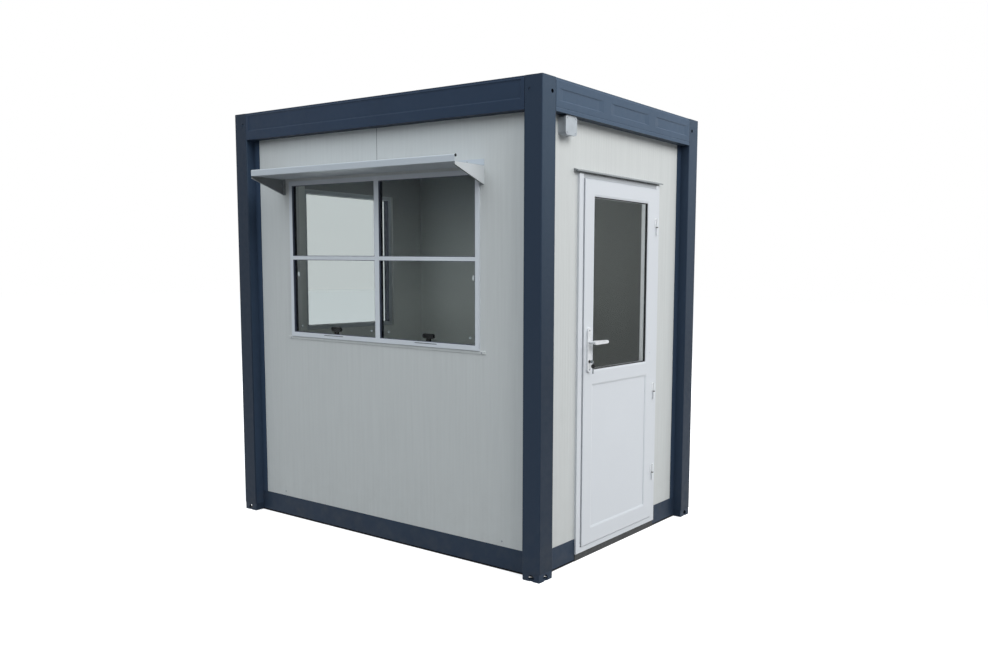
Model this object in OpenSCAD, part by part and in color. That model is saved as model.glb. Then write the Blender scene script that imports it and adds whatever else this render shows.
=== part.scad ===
// Security guard booth: a steel corner-post frame with sandwich wall panels, a glazed
// front window under a small awning, an end window and a half-glazed door at one end.
// Millimetres. The front faces -Y, the door end faces +X, the ground is at Z = 0.

/* [Overall] */
// Length of the booth along its front
booth_w = 2400; // [2200:10:3000]
// Depth of the booth from front to back
booth_d = 1600; // [1400:10:2200]
// Height to the top of the roof frame
booth_h = 2500; // [2400:10:2800]

/* [Steel frame] */
// Width of a corner post's outer faces
post_w = 110; // [90:1:140]
// Thickness of the folded steel
steel_t = 3; // [2:0.5:5]
// Outer radius of the posts' folds
fold_r = 5; // [3:0.5:6]
// Distance from the post faces in to the wall panels
panel_setback = 60; // [45:1:80]
// Width of the post flange that laps a wall panel's edge
flange_w = 35; // [20:1:60]
// Height of the roof beams
roof_beam_h = 160; // [130:1:200]
// Height of the floor beams
floor_beam_h = 115; // [105:1:150]
// Gap between the floor beams and the ground
ground_gap = 10; // [4:1:25]
// Thickness of the plates that close a post
post_plate_t = 6; // [4:1:10]
// Radius of the lifting holes at the top of each post
lift_hole_r = 10; // [6:0.5:14]
// Distance from a post's inner edge to a lifting hole
lift_hole_in = 31; // [20:1:45]
// Distance from the top of a post to a lifting hole
lift_hole_drop = 70; // [40:1:100]

/* [Roof beam pressings] */
// Height of the lip along the top of the beams
lip_h = 8; // [5:1:14]
// Distance that the lip stands back from the beam's face
lip_back = 3; // [1:0.5:6]
// Height of the slope from the beam's face up to the lip
lip_slope = 4; // [2:0.5:8]
// Height of the groove's centre above an end beam's bottom
groove_up = 20; // [12:1:30]
// Height of the groove
groove_h = 7; // [3:0.5:8]
// Depth of the groove
groove_d = 1.5; // [0.5:0.5:1.5]
// Depth of the pressed fields
press_depth = 4; // [2:0.5:8]
// Width of the sloped border of a pressed field
press_slope = 6; // [4:1:16]
// Length over which the short fields of the ends run out
short_press_fade = 40; // [6:1:80]
// Distance from the beam's top to the long fields of the front and back
long_press_top = 14; // [13:1:30]
// Distance from the beam's top to the short fields of the ends
short_press_top = 47; // [20:1:55]
// Distance from the beam's top to the bottom of every field
press_bottom = 108; // [90:1:122]
// Distance from a post to the first field
press_end = 20; // [6:1:40]
// Plain bridge between two fields
press_bridge = 70; // [40:1:120]
// Fields on each end beam
end_fields = 3; // [1:1:5]

/* [Feet] */
// Height of a foot
foot_h = 45; // [36:1:80]
// Distance that a foot stands back from the post's faces
foot_inset = 3; // [1:0.5:8]
// Wall thickness of a foot
foot_wall = 4; // [3:0.5:8]
// Radius of the anchor hole in a foot's base plate
anchor_r = 11; // [6:0.5:14]
// Distance from the post's faces to the anchor hole
anchor_in = 36; // [26:1:40]
// Width of the arched hole in a foot's outer walls
arch_w = 36; // [20:1:44]
// Height of the arched hole
arch_h = 24; // [20:1:30]

/* [Walls, floor and roof] */
// Thickness of the wall panels
panel_t = 60; // [40:1:100]
// Joint between two wall panels
seam_gap = 2; // [1:0.5:6]
// Height of the floor's top
floor_top = 65; // [50:1:80]
// Distance from the roof frame's top to the ceiling
ceiling_drop = 100; // [80:1:140]
// Thickness of the ceiling panel
ceiling_t = 60; // [40:1:75]
// Thickness of the roof sheet
roof_sheet_t = 2; // [1:0.5:4]
// Height of the roof sheet's ribs
roof_rib_h = 18; // [10:1:20]
// Pitch of the roof sheet's ribs
roof_rib_pitch = 250; // [150:10:400]
// Width of a rib's flat crown
roof_rib_crown = 36; // [20:1:60]
// Width of a rib's foot
roof_rib_foot = 72; // [62:1:120]

/* [Windows] */
// Width of the front window's frame
window_w = 1514; // [1200:2:1700]
// Width of the end window's frame
end_window_w = 778; // [500:2:900]
// Distance from the end wall's middle to the end window's middle, towards the back
end_window_shift = 11; // [-60:1:60]
// Distance from the roof beams down to the windows' top edge
window_drop = 263; // [240:1:400]
// Height of the window frames
window_h = 932; // [700:1:980]
// Depth of the front window's frame
window_depth = 32; // [30:1:60]
// Depth of the end window's frame
end_window_depth = 50; // [30:1:60]
// Face width of the outer frame
window_rail = 26; // [18:1:50]
// Face width of the upright between the panes
mullion_w = 36; // [24:1:60]
// Face width of the crossbar
crossbar_w = 21; // [14:1:40]
// Height of the crossbar's centre above the window's bottom
crossbar_up = 476; // [350:1:600]
// Distance that the frames stand proud of the wall
window_proud = 10; // [4:1:20]
// Glass thickness
glass_t = 5; // [4:0.5:10]
// Distance from a frame's outer face to the glass
glass_inset = 12; // [8:1:25]
// Depth that the glass enters the frame
glass_bite = 6; // [4:1:12]
// Distance that the sill flashing runs past the window on each side
sill_over = 39; // [10:1:70]
// Height of the sill flashing
sill_h = 24; // [14:1:40]
// Distance that the sill flashing stands proud of the wall
sill_proud = 17; // [11:1:40]
// Width of a window handle's grip
handle_grip_w = 84; // [50:1:110]
// Height of a window handle's grip
handle_grip_h = 27; // [16:1:34]
// Height of a window handle's stem
handle_stem_h = 17; // [8:1:30]
// Width of a window handle's stem
handle_stem_w = 28; // [12:1:40]
// Thickness of a window handle
handle_t = 12; // [8:1:24]
// Gap between the glass and a window handle
handle_gap = 2; // [1:0.5:8]

/* [Awning] */
// Distance that the awning runs past the window on each side
awning_over = 48; // [44:1:80]
// Distance from the window's centre to the awning's centre
awning_shift = -19; // [-40:1:40]
// Reach of the awning from the wall
awning_reach = 221; // [150:1:320]
// Distance from the window's top edge up to the awning
awning_up = 17; // [10:1:42]
// Height of the upturned front lip
awning_lip_h = 30; // [18:1:45]
// Height of the flange on the wall
awning_flange_h = 32; // [20:1:45]
// Radius of the rolled hem along the lip
hem_r = 6; // [4:0.5:9]
// Drop of the end brackets at the wall
bracket_h = 95; // [60:1:140]
// Drop of the end brackets at the front lip
bracket_tip_h = 14; // [8:1:30]
// Gap between a bracket's wall flange and the window frame
bracket_gap = 5; // [3:1:10]
// Width of the fold along a bracket's sloped edge
bracket_fold_w = 12; // [6:1:20]

/* [Door] */
// Width of the door frame
door_frame_w = 832; // [760:2:950]
// Height of the door frame's bottom edge above the ground
door_bottom = 41; // [30:1:44]
// Distance from the roof beams down to the door frame's top edge
door_drop = 268; // [250:1:390]
// Face width of the jambs
jamb_w = 38; // [36:1:60]
// Height of the door frame's head
head_h = 21; // [18:1:45]
// Height of the threshold
threshold_h = 29; // [24:1:34]
// Distance that the door frame stands proud of the wall
door_frame_proud = 13; // [8:1:16]
// Distance that the door frame stands proud of the wall inside
door_frame_inside = 5; // [2:1:15]
// Thickness of the door leaf
leaf_t = 48; // [36:1:50]
// Distance that the leaf stands proud of its frame
leaf_proud = 6; // [2:1:10]
// Gap between the leaf and the jambs
leaf_gap = 7; // [6.5:0.5:12]
// Gap above and below the leaf
leaf_gap_z = 5; // [5:0.5:10]
// Width of the stop that the leaf closes against
stop_w = 18; // [12:1:25]
// Gap between the leaf and the stop
stop_gap = 7; // [5:0.5:10]
// Width of the leaf's upright stiles
stile_w = 91; // [75:1:120]
// Height of the leaf's bottom rail
bottom_rail_h = 93; // [60:1:160]
// Height of the leaf's middle rail
middle_rail_h = 86; // [60:1:160]
// Height of the middle rail's bottom edge above the ground
middle_rail_z = 949; // [800:1:980]
// Height of the leaf's top rail
top_rail_h = 85; // [60:1:160]
// Thickness of the leaf's lower panel
leaf_panel_t = 22; // [12:1:26]
// Distance from the leaf's outer face to its lower panel
leaf_panel_inset = 5; // [5:1:10]
// Width of the bevel round the leaf's openings
leaf_bevel_w = 10; // [6:1:16]
// Depth of the bevel round the leaf's openings
leaf_bevel_d = 3; // [2:0.5:5]
// Distance that the drip cap runs past the door frame on each side
drip_over = 28; // [5:1:60]
// Distance from the door's centre to the drip cap's centre
drip_shift = -8; // [-30:1:30]
// Height of the drip cap
drip_h = 14; // [8:1:25]
// Distance that the drip cap stands proud of the wall
drip_proud = 26; // [16:1:50]
// Gap between the door frame and the drip cap
drip_gap = 8; // [2:1:12]

/* [Hinges] */
// Distance from the leaf's bottom up to the lowest hinge
hinge_up = 278; // [150:1:350]
// Distance from the leaf's bottom up to the middle hinge
hinge_middle_up = 776; // [500:1:1200]
// Distance from the leaf's top down to the highest hinge
hinge_down = 216; // [120:1:300]
// Height of a hinge
hinge_h = 100; // [70:1:140]
// Radius of a hinge's barrel
hinge_r = 6; // [6:0.5:9]
// Radius of a hinge's pin
hinge_pin_r = 4; // [3:0.5:5]
// Thickness of a hinge's plates
hinge_plate_t = 2; // [1.5:0.5:4]
// Width of a hinge's plates
hinge_plate_w = 20; // [16:1:36]
// Gap between the two halves of a hinge
hinge_play = 1; // [0.5:0.5:2]

/* [Door handle] */
// Height of the lever's axis above the ground
lever_z = 1187; // [1100:1:1210]
// Distance from the leaf's free edge to the lever's axis
lever_backset = 44; // [35:1:62]
// Radius of the lever's neck
lever_neck_r = 9; // [7:0.5:12]
// Distance from the plate to the lever's middle
lever_reach = 38; // [30:1:55]
// Length of the lever from its axis
lever_l = 120; // [90:1:130]
// Height of the lever at its axis
lever_h = 22; // [20:1:26]
// Height of the lever at its tip
lever_tip_h = 18; // [12:1:19]
// Thickness of the lever
lever_t = 13; // [9:1:18]
// Radius of the spindle through the leaf
spindle_r = 5; // [4:0.5:6]
// Width of the handle's back plates
plate_w = 36; // [30:1:38]
// Height of the back plates
plate_h = 241; // [230:1:280]
// Thickness of the back plates
plate_t = 8; // [5:1:12]
// Width of the step round the back plates' faces
plate_step = 2; // [1:0.5:4]
// Distance from the lever's axis up to the plate's top
plate_up = 78; // [50:1:110]
// Distance from the lever's axis down to the lock cylinder
lock_drop = 103; // [60:1:120]
// Radius of the lock cylinder
lock_r = 8.5; // [7:0.5:10]
// Distance that the lock cylinder stands proud of the back plates
lock_proud = 3; // [1:0.5:6]
// Running clearance of pins, spindle and lock cylinder
pin_clearance = 0.3; // [0.2:0.1:0.5]

/* [Junction box] */
// Side of the cable box on the end wall
box_side = 97; // [70:1:120]
// Depth of the cable box
box_depth = 50; // [30:1:58]
// Distance from the post to the cable box
box_from_post = 95; // [60:1:120]
// Radius of the cable box's corners
box_round = 16; // [8:1:20]
// Gap between the roof beam and the cable box
box_drop = 1; // [0:1:20]
// Thickness of the cable box's lid
box_lid_t = 14; // [6:1:20]
// Distance that the lid laps over the cable box
box_lid_over = 2; // [1:0.5:4]

/* [Hidden] */
$fn = 48;
// A cut runs this far past the faces it opens
past = 1;
half_w = booth_w / 2;
half_d = booth_d / 2;
post_depth = panel_setback + panel_t;
beam_face = panel_setback - steel_t;
floor_beam_top = ground_gap + floor_beam_h;
roof_beam_bottom = booth_h - roof_beam_h;
ceiling_z = booth_h - ceiling_drop;
roof_sheet_z = ceiling_z + ceiling_t;
window_top = roof_beam_bottom - window_drop;
window_bottom = window_top - window_h;
window_face = panel_setback - window_proud;
glass_face = window_face + glass_inset;
sill_w = window_w + 2 * sill_over;
handle_face = glass_face + glass_t + handle_gap;
awning_w = window_w + 2 * awning_over;
awning_z = window_top + awning_up;
awning_front = panel_setback - awning_reach;
bracket_flange_w = awning_over - abs(awning_shift) - bracket_gap;
door_top = roof_beam_bottom - door_drop;
door_face = panel_setback - door_frame_proud;
drip_w = door_frame_w + 2 * drip_over;
door_frame_depth = door_frame_proud + panel_t + door_frame_inside;
leaf_face = door_face - leaf_proud;
leaf_back = leaf_face + leaf_t;
stop_face = leaf_back + stop_gap;
door_opening_half = door_frame_w / 2 - jamb_w;
leaf_half = door_opening_half - leaf_gap;
stile_inner = leaf_half - stile_w;
leaf_bottom = door_bottom + threshold_h + leaf_gap_z;
leaf_top = door_top - head_h - leaf_gap_z;
panel_bottom = leaf_bottom + bottom_rail_h;
leaf_glass_bottom = middle_rail_z + middle_rail_h;
leaf_glass_top = leaf_top - top_rail_h;
hinge_axis_s = door_opening_half - leaf_gap / 2;
hinge_axis_v = leaf_face - hinge_r;
lever_s = -leaf_half + lever_backset;
plate_top = lever_z + plate_up;
lock_z = lever_z - lock_drop;

navy = [0.15, 0.19, 0.27];
wall_white = [0.80, 0.82, 0.83];
door_white = [0.86, 0.88, 0.90];
frame_white = [0.84, 0.86, 0.88];
floor_grey = [0.45, 0.46, 0.47];
roof_grey = [0.70, 0.72, 0.73];
box_grey = [0.78, 0.80, 0.80];
glass_grey = [0.30, 0.34, 0.36, 0.5];
lock_brass = [0.70, 0.66, 0.52];

// Each side of the booth has its own frame: the first axis runs along the side, the second
// goes in from the post faces, the third goes up.
module on_front() {
    translate([0, -half_d, 0]) children();
}
module on_back() {
    rotate([0, 0, 180]) translate([0, -half_d, 0]) children();
}
module on_door_end() {
    rotate([0, 0, 90]) translate([0, -half_w, 0]) children();
}
module on_far_end() {
    rotate([0, 0, -90]) translate([0, -half_w, 0]) children();
}

// A block in a side's frame, from one corner to the other
module block(low, high) {
    translate(low) cube(high - low);
}

// A flat shape drawn along the side and up, given a depth from the outer face at "face"
module upright(face, depth) {
    translate([0, face + depth, 0]) rotate([90, 0, 0]) linear_extrude(depth) children();
}

// A shape drawn in from the post faces and up, run along the side
module along_side(length) {
    rotate([90, 0, 90]) translate([0, 0, -length / 2]) linear_extrude(length) children();
}

// A bar with half-round ends, standing, from its lower to its upper end
module stadium(width, low, high) {
    translate([-width / 2, low + width / 2]) square([width, high - low - width]);
    for (z = [low + width / 2, high - width / 2]) translate([0, z]) circle(d = width);
}

// The corner posts, folded from sheet, with flanges that lap the wall panels
module post_outline(outer, step, inner) {
    polygon([[outer, outer], [post_w - outer, outer], [post_w - outer, step], [inner, step], [inner, inner],
        [step, inner], [step, post_w - outer], [outer, post_w - outer]]);
}
// What a fold takes off an outer corner, for the corner at "place" turned to face "turn"
module fold_waste(place, turn) {
    translate(place) rotate(turn) difference() {
        translate([-past, -past]) square(fold_r + past);
        translate([fold_r, fold_r]) circle(r = fold_r);
    }
}
module folded_outline() {
    difference() {
        post_outline(0, panel_setback, post_depth);
        fold_waste([0, 0], 0);
        fold_waste([post_w, 0], 90);
        fold_waste([0, post_w], -90);
    }
}
module lifting_hole() {
    translate([post_w - lift_hole_in, -past, booth_h - lift_hole_drop])
        rotate([-90, 0, 0]) cylinder(r = lift_hole_r, h = steel_t + 2 * past);
}
module post() {
    difference() {
        translate([0, 0, foot_h]) linear_extrude(booth_h - foot_h) folded_outline();
        translate([0, 0, foot_h + post_plate_t]) linear_extrude(booth_h - foot_h - 2 * post_plate_t)
            post_outline(steel_t, panel_setback + steel_t, post_depth - steel_t);
        lifting_hole();
        mirror([1, -1, 0]) lifting_hole();
    }
    for (turn = [false, true]) {
        if (turn) mirror([1, -1, 0]) post_flange();
        else post_flange();
    }
}
module post_flange() {
    block([post_w, beam_face, floor_beam_top],
        [post_depth + flange_w, panel_setback, roof_beam_bottom]);
}
module at_corner(right, back) {
    translate([right ? half_w : -half_w, back ? half_d : -half_d, 0]) {
        if (right && back) mirror([1, 0, 0]) mirror([0, 1, 0]) children();
        else if (right) mirror([1, 0, 0]) children();
        else if (back) mirror([0, 1, 0]) children();
        else children();
    }
}
module post_front_left() {
    color(navy) at_corner(false, false) post();
}
module post_front_right() {
    color(navy) at_corner(true, false) post();
}
module post_back_left() {
    color(navy) at_corner(false, true) post();
}
module post_back_right() {
    color(navy) at_corner(true, true) post();
}

// The feet: two walls under a post's outer faces, each with an arched hole, on a corner plate
// with an anchor hole
module arch() {
    translate([post_w / 2, foot_inset - past, 0]) {
        upright(0, foot_wall + 2 * past) {
            translate([-arch_w / 2, ground_gap]) square([arch_w, arch_h - arch_w / 2]);
            translate([0, ground_gap + arch_h - arch_w / 2]) circle(d = arch_w);
        }
    }
}
module foot() {
    reach = post_w - foot_inset;
    difference() {
        union() {
            block([foot_inset, foot_inset, 0], [reach, foot_inset + foot_wall, foot_h]);
            block([foot_inset, foot_inset, 0], [foot_inset + foot_wall, reach, foot_h]);
            linear_extrude(ground_gap)
                polygon([[foot_inset, foot_inset], [reach, foot_inset], [foot_inset, reach]]);
        }
        translate([anchor_in, anchor_in, -past]) cylinder(r = anchor_r, h = ground_gap + 2 * past);
        arch();
        mirror([1, -1, 0]) arch();
    }
}
module corner_feet() {
    color(navy) for (right = [false, true], back = [false, true]) at_corner(right, back) foot();
}

// The roof beams: folded channels between the posts, with a lip along the top and shallow
// pressed fields
module pressed_field(length, top, fade) {
    z = booth_h - press_bottom;
    height = press_bottom - top;
    hull() {
        translate([-length / 2, -past, z]) cube([length, past, height]);
        translate([-length / 2 + fade, -past, z + press_slope])
            cube([length - 2 * fade, past + press_depth, height - 2 * press_slope]);
    }
}
module beam_profile() {
    lip_z = booth_h - lip_h;
    lip_inside = lip_back + steel_t;
    polygon([[0, roof_beam_bottom], [0, lip_z - lip_slope], [lip_back, lip_z], [lip_back, booth_h],
        [panel_setback, booth_h], [panel_setback, booth_h - steel_t], [lip_inside, booth_h - steel_t],
        [lip_inside, lip_z], [steel_t, lip_z - lip_slope], [steel_t, roof_beam_bottom + steel_t],
        [panel_setback, roof_beam_bottom + steel_t], [panel_setback, roof_beam_bottom]]);
}
module beam_groove() {
    z = roof_beam_bottom + groove_up;
    polygon([[0, z - groove_h / 2], [groove_d, z], [0, z + groove_h / 2], [-past, z]]);
}
module roof_beam(side, fields, top, fade) {
    length = side - 2 * post_w;
    room = length - 2 * press_end - (fields - 1) * press_bridge;
    field_l = room / fields;
    first = -length / 2 + press_end + field_l / 2;
    places = [for (i = [0 : fields - 1]) first + i * (field_l + press_bridge)];
    difference() {
        union() {
            along_side(length) beam_profile();
            for (s = places)
                block([s - field_l / 2, 0, booth_h - press_bottom],
                    [s + field_l / 2, press_depth + steel_t, booth_h - top]);
        }
        for (s = places) translate([s, 0, 0]) pressed_field(field_l, top, fade);
    }
}
module end_roof_beam() {
    difference() {
        roof_beam(booth_d, end_fields, short_press_top, short_press_fade);
        along_side(booth_d) beam_groove();
    }
}
module roof_beam_front() {
    color(navy) on_front() roof_beam(booth_w, 1, long_press_top, press_slope);
}
module roof_beam_back() {
    color(navy) on_back() roof_beam(booth_w, 1, long_press_top, press_slope);
}
module roof_beam_door_end() {
    color(navy) on_door_end() end_roof_beam();
}
module roof_beam_far_end() {
    color(navy) on_far_end() end_roof_beam();
}

// The floor beams: channels that carry the floor deck and the wall panels
module floor_beam(side) {
    face_half = side / 2 - post_w;
    flange_half = side / 2 - post_depth;
    block([-face_half, beam_face, ground_gap], [face_half, panel_setback, floor_beam_top]);
    for (z = [ground_gap, floor_beam_top - steel_t])
        block([-flange_half, beam_face, z], [flange_half, post_depth, z + steel_t]);
}
module floor_beam_front() {
    color(navy) on_front() floor_beam(booth_w);
}
module floor_beam_back() {
    color(navy) on_back() floor_beam(booth_w);
}
module floor_beam_door_end() {
    color(navy) on_door_end() difference() {
        floor_beam(booth_d);
        block([-door_frame_w / 2, 0, door_bottom],
            [door_frame_w / 2, post_depth + past, floor_beam_top + past]);
    }
}
module floor_beam_far_end() {
    color(navy) on_far_end() floor_beam(booth_d);
}

// The plan inside the beams, with the corners cut for the posts
module inner_plan() {
    difference() {
        square([booth_w - 2 * panel_setback, booth_d - 2 * panel_setback], center = true);
        for (x = [-half_w, half_w], y = [-half_d, half_d])
            translate([x, y]) square(2 * post_depth, center = true);
    }
}
module floor_deck() {
    deck_z = ground_gap + steel_t;
    color(floor_grey) difference() {
        translate([0, 0, deck_z]) linear_extrude(floor_top - deck_z) inner_plan();
        on_door_end() block([-door_frame_w / 2, 0, door_bottom],
            [door_frame_w / 2, door_face + door_frame_depth, floor_top + past]);
    }
}
module ceiling_panel() {
    color(wall_white) translate([0, 0, ceiling_z]) linear_extrude(ceiling_t) inner_plan();
}

// The roof sheet: a flat sheet with trapezoid ribs from front to back
module roof_sheet() {
    span = booth_w - 2 * panel_setback;
    count = floor((span - 2 * panel_t) / roof_rib_pitch);
    foot_half = roof_rib_foot / 2;
    crown_half = roof_rib_crown / 2;
    rib = [[-foot_half, 0], [-crown_half, roof_rib_h], [crown_half, roof_rib_h], [foot_half, 0]];
    first = -(count - 1) / 2 * roof_rib_pitch;
    crest = [for (i = [0 : count - 1], corner = rib) [first + i * roof_rib_pitch, 0] + corner];
    over = concat([[-span / 2, 0]], crest, [[span / 2, 0]]);
    under = [for (i = [len(over) - 1 : -1 : 0]) [over[i][0], over[i][1] + roof_sheet_t]];
    depth = booth_d - 2 * panel_setback;
    color(roof_grey) translate([0, 0, roof_sheet_z]) intersection() {
        translate([0, depth / 2, 0]) rotate([90, 0, 0]) linear_extrude(depth)
            polygon(concat(over, under));
        linear_extrude(roof_rib_h + roof_sheet_t) inner_plan();
    }
}

// The wall panels stand on the floor beams and reach up to the ceiling panel
module wall_panel(from, to) {
    block([from, panel_setback, floor_beam_top], [to, post_depth, ceiling_z]);
}
module window_hole(width) {
    block([-width / 2, panel_setback - past, window_bottom], [width / 2, post_depth + past, window_top]);
}
module at_end_window() {
    translate([-end_window_shift, 0, 0]) children();
}
module long_wall_half(right) {
    reach = half_w - post_depth;
    if (right) wall_panel(seam_gap / 2, reach);
    else wall_panel(-reach, -seam_gap / 2);
}
module front_wall_left() {
    color(wall_white) on_front() difference() {
        long_wall_half(false);
        window_hole(window_w);
    }
}
module front_wall_right() {
    color(wall_white) on_front() difference() {
        long_wall_half(true);
        window_hole(window_w);
    }
}
module back_wall_left() {
    color(wall_white) on_back() long_wall_half(true);
}
module back_wall_right() {
    color(wall_white) on_back() long_wall_half(false);
}
module far_end_wall() {
    reach = half_d - post_depth;
    color(wall_white) on_far_end() difference() {
        wall_panel(-reach, reach);
        at_end_window() window_hole(end_window_w);
    }
}
module door_end_wall_front() {
    color(wall_white) on_door_end() wall_panel(-half_d + post_depth, -door_frame_w / 2);
}
module door_end_wall_back() {
    color(wall_white) on_door_end() wall_panel(door_frame_w / 2, half_d - post_depth);
}
module door_end_wall_top() {
    color(wall_white) on_door_end()
        block([-door_frame_w / 2, panel_setback, door_top], [door_frame_w / 2, post_depth, ceiling_z]);
}

// The windows. A light is [left, right, bottom, top] of the glass that shows.
function front_lights() = [for (column = [0, 1], row = [0, 1]) [
    column == 0 ? -window_w / 2 + window_rail : mullion_w / 2,
    column == 0 ? -mullion_w / 2 : window_w / 2 - window_rail,
    row == 0 ? window_bottom + window_rail : window_bottom + crossbar_up + crossbar_w / 2,
    row == 0 ? window_bottom + crossbar_up - crossbar_w / 2 : window_top - window_rail]];
function end_light() = [-end_window_w / 2 + window_rail, end_window_w / 2 - window_rail,
    window_bottom + window_rail, window_top - window_rail];
module light(edges, grow, face, depth) {
    block([edges[0] - grow, face, edges[2] - grow], [edges[1] + grow, face + depth, edges[3] + grow]);
}
module glazed_frame(width, depth, lights) {
    difference() {
        block([-width / 2, window_face, window_bottom], [width / 2, window_face + depth, window_top]);
        for (edges = lights) {
            light(edges, 0, window_face - past, depth + 2 * past);
            light(edges, glass_bite, glass_face, glass_t);
        }
    }
}
module window_frame() {
    color(frame_white) on_front() glazed_frame(window_w, window_depth, front_lights());
}
module window_panes() {
    color(glass_grey) on_front() for (edges = front_lights()) light(edges, glass_bite, glass_face, glass_t);
}
module end_window_frame() {
    color(frame_white) on_far_end() at_end_window()
        glazed_frame(end_window_w, end_window_depth, [end_light()]);
}
module end_window_pane() {
    color(glass_grey) on_far_end() at_end_window() light(end_light(), glass_bite, glass_face, glass_t);
}

// T-shaped handles inside the lower panes, one on the bottom rail of each
module window_handles() {
    rail_top = window_bottom + window_rail;
    color("black") on_front() for (edges = [front_lights()[0], front_lights()[2]])
        translate([(edges[0] + edges[1]) / 2, 0, rail_top]) {
            block([-handle_stem_w / 2, handle_face, 0],
                [handle_stem_w / 2, handle_face + handle_t, handle_stem_h]);
            translate([0, 0, handle_stem_h + handle_grip_h / 2]) rotate([0, 90, 0])
                upright(handle_face, handle_t)
                    stadium(handle_grip_h, -handle_grip_w / 2, handle_grip_w / 2);
        }
}

// Sill flashing under the front window, with a sloped top
module window_sill() {
    color(wall_white) on_front() along_side(sill_w)
        polygon([[panel_setback, window_bottom], [window_face, window_bottom],
            [panel_setback - sill_proud, window_bottom - steel_t],
            [panel_setback - sill_proud, window_bottom - sill_h],
            [panel_setback, window_bottom - sill_h]]);
}

// The awning: a tray with a wall flange, an upturned front lip and a rolled hem
module awning_sheet() {
    color(frame_white) on_front() translate([awning_shift, 0, 0]) along_side(awning_w) {
        translate([awning_front, awning_z]) square([awning_reach, steel_t]);
        translate([panel_setback - steel_t, awning_z]) square([steel_t, awning_flange_h + steel_t]);
        translate([awning_front, awning_z]) square([steel_t, awning_lip_h]);
        translate([awning_front + hem_r, awning_z + awning_lip_h]) difference() {
            circle(r = hem_r);
            circle(r = hem_r - steel_t / 2);
        }
    }
}
module awning_bracket() {
    tip = awning_front + steel_t;
    rise = bracket_h - bracket_tip_h;
    run = panel_setback - tip;
    rotate([90, 0, 90]) linear_extrude(steel_t)
        polygon([[panel_setback, awning_z], [panel_setback, awning_z - bracket_h],
            [tip, awning_z - bracket_tip_h], [tip, awning_z]]);
    rotate([90, 0, 90]) linear_extrude(bracket_flange_w)
        polygon([[panel_setback, awning_z], [panel_setback, awning_z - bracket_h],
            [panel_setback - steel_t, awning_z - bracket_h + steel_t * rise / run],
            [panel_setback - steel_t, awning_z]]);
    rotate([90, 0, 90]) linear_extrude(bracket_fold_w)
        polygon([[panel_setback, awning_z - bracket_h], [tip, awning_z - bracket_tip_h],
            [tip, awning_z - bracket_tip_h + steel_t], [panel_setback, awning_z - bracket_h + steel_t]]);
}
module awning_brackets() {
    color(frame_white) on_front() translate([awning_shift, 0, 0]) {
        translate([-awning_w / 2, 0, 0]) awning_bracket();
        mirror([1, 0, 0]) translate([-awning_w / 2, 0, 0]) awning_bracket();
    }
}

// The door frame, with stops on the inside that the leaf closes against
module door_jambs() {
    color(door_white) on_door_end() for (side = [-1, 1]) {
        outer = side * door_frame_w / 2;
        inner = side * door_opening_half;
        stop = side * (door_opening_half - stop_w);
        translate([0, 0, door_bottom]) linear_extrude(door_top - door_bottom)
            polygon([[outer, door_face], [inner, door_face], [inner, stop_face], [stop, stop_face],
                [stop, door_face + door_frame_depth], [outer, door_face + door_frame_depth]]);
    }
}
module door_head() {
    back = door_face + door_frame_depth;
    stop_half = door_opening_half - stop_w;
    color(door_white) on_door_end() {
        block([-door_opening_half, door_face, door_top - head_h], [door_opening_half, stop_face, door_top]);
        block([-stop_half, stop_face, door_top - head_h - stop_w], [stop_half, back, door_top]);
    }
}
module door_threshold() {
    back = door_face + door_frame_depth;
    stop_half = door_opening_half - stop_w;
    top = door_bottom + threshold_h;
    color(door_white) on_door_end() {
        block([-door_opening_half, door_face, door_bottom], [door_opening_half, stop_face, top]);
        block([-stop_half, stop_face, door_bottom], [stop_half, back, top]);
    }
}

// A drip cap on the wall over the door, with a sloped top and a turned-down lip
module door_drip_cap() {
    low = door_top + drip_gap;
    tip = panel_setback - drip_proud;
    under = low + drip_h / 2 - steel_t;
    color(wall_white) on_door_end() translate([drip_shift, 0, 0]) along_side(drip_w)
        polygon([[panel_setback, low + drip_h], [tip, low + drip_h / 2], [tip, low],
            [tip + steel_t, low], [tip + steel_t, under], [panel_setback, under]]);
}

// A cable box on the end wall, close to the post under the roof beam
module rounded_square(side, radius) {
    square([side - 2 * radius, side], center = true);
    square([side, side - 2 * radius], center = true);
    for (s = [-1, 1], z = [-1, 1]) translate([s, z] * (side / 2 - radius)) circle(r = radius);
}
module junction_box() {
    left = -half_d + post_w + box_from_post;
    top = roof_beam_bottom - box_drop;
    face = panel_setback - box_depth;
    color(box_grey) on_door_end() translate([left + box_side / 2, 0, top - box_side / 2]) {
        upright(face, box_lid_t) rounded_square(box_side, box_round);
        upright(face + box_lid_t, box_depth - box_lid_t)
            rounded_square(box_side - 2 * box_lid_over, box_round - box_lid_over);
    }
}

// The door leaf: stiles and rails round a pane and a lower panel
function leaf_glass_light() = [-stile_inner, stile_inner, leaf_glass_bottom, leaf_glass_top];
function leaf_panel_light() = [-stile_inner, stile_inner, panel_bottom, middle_rail_z];
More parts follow.
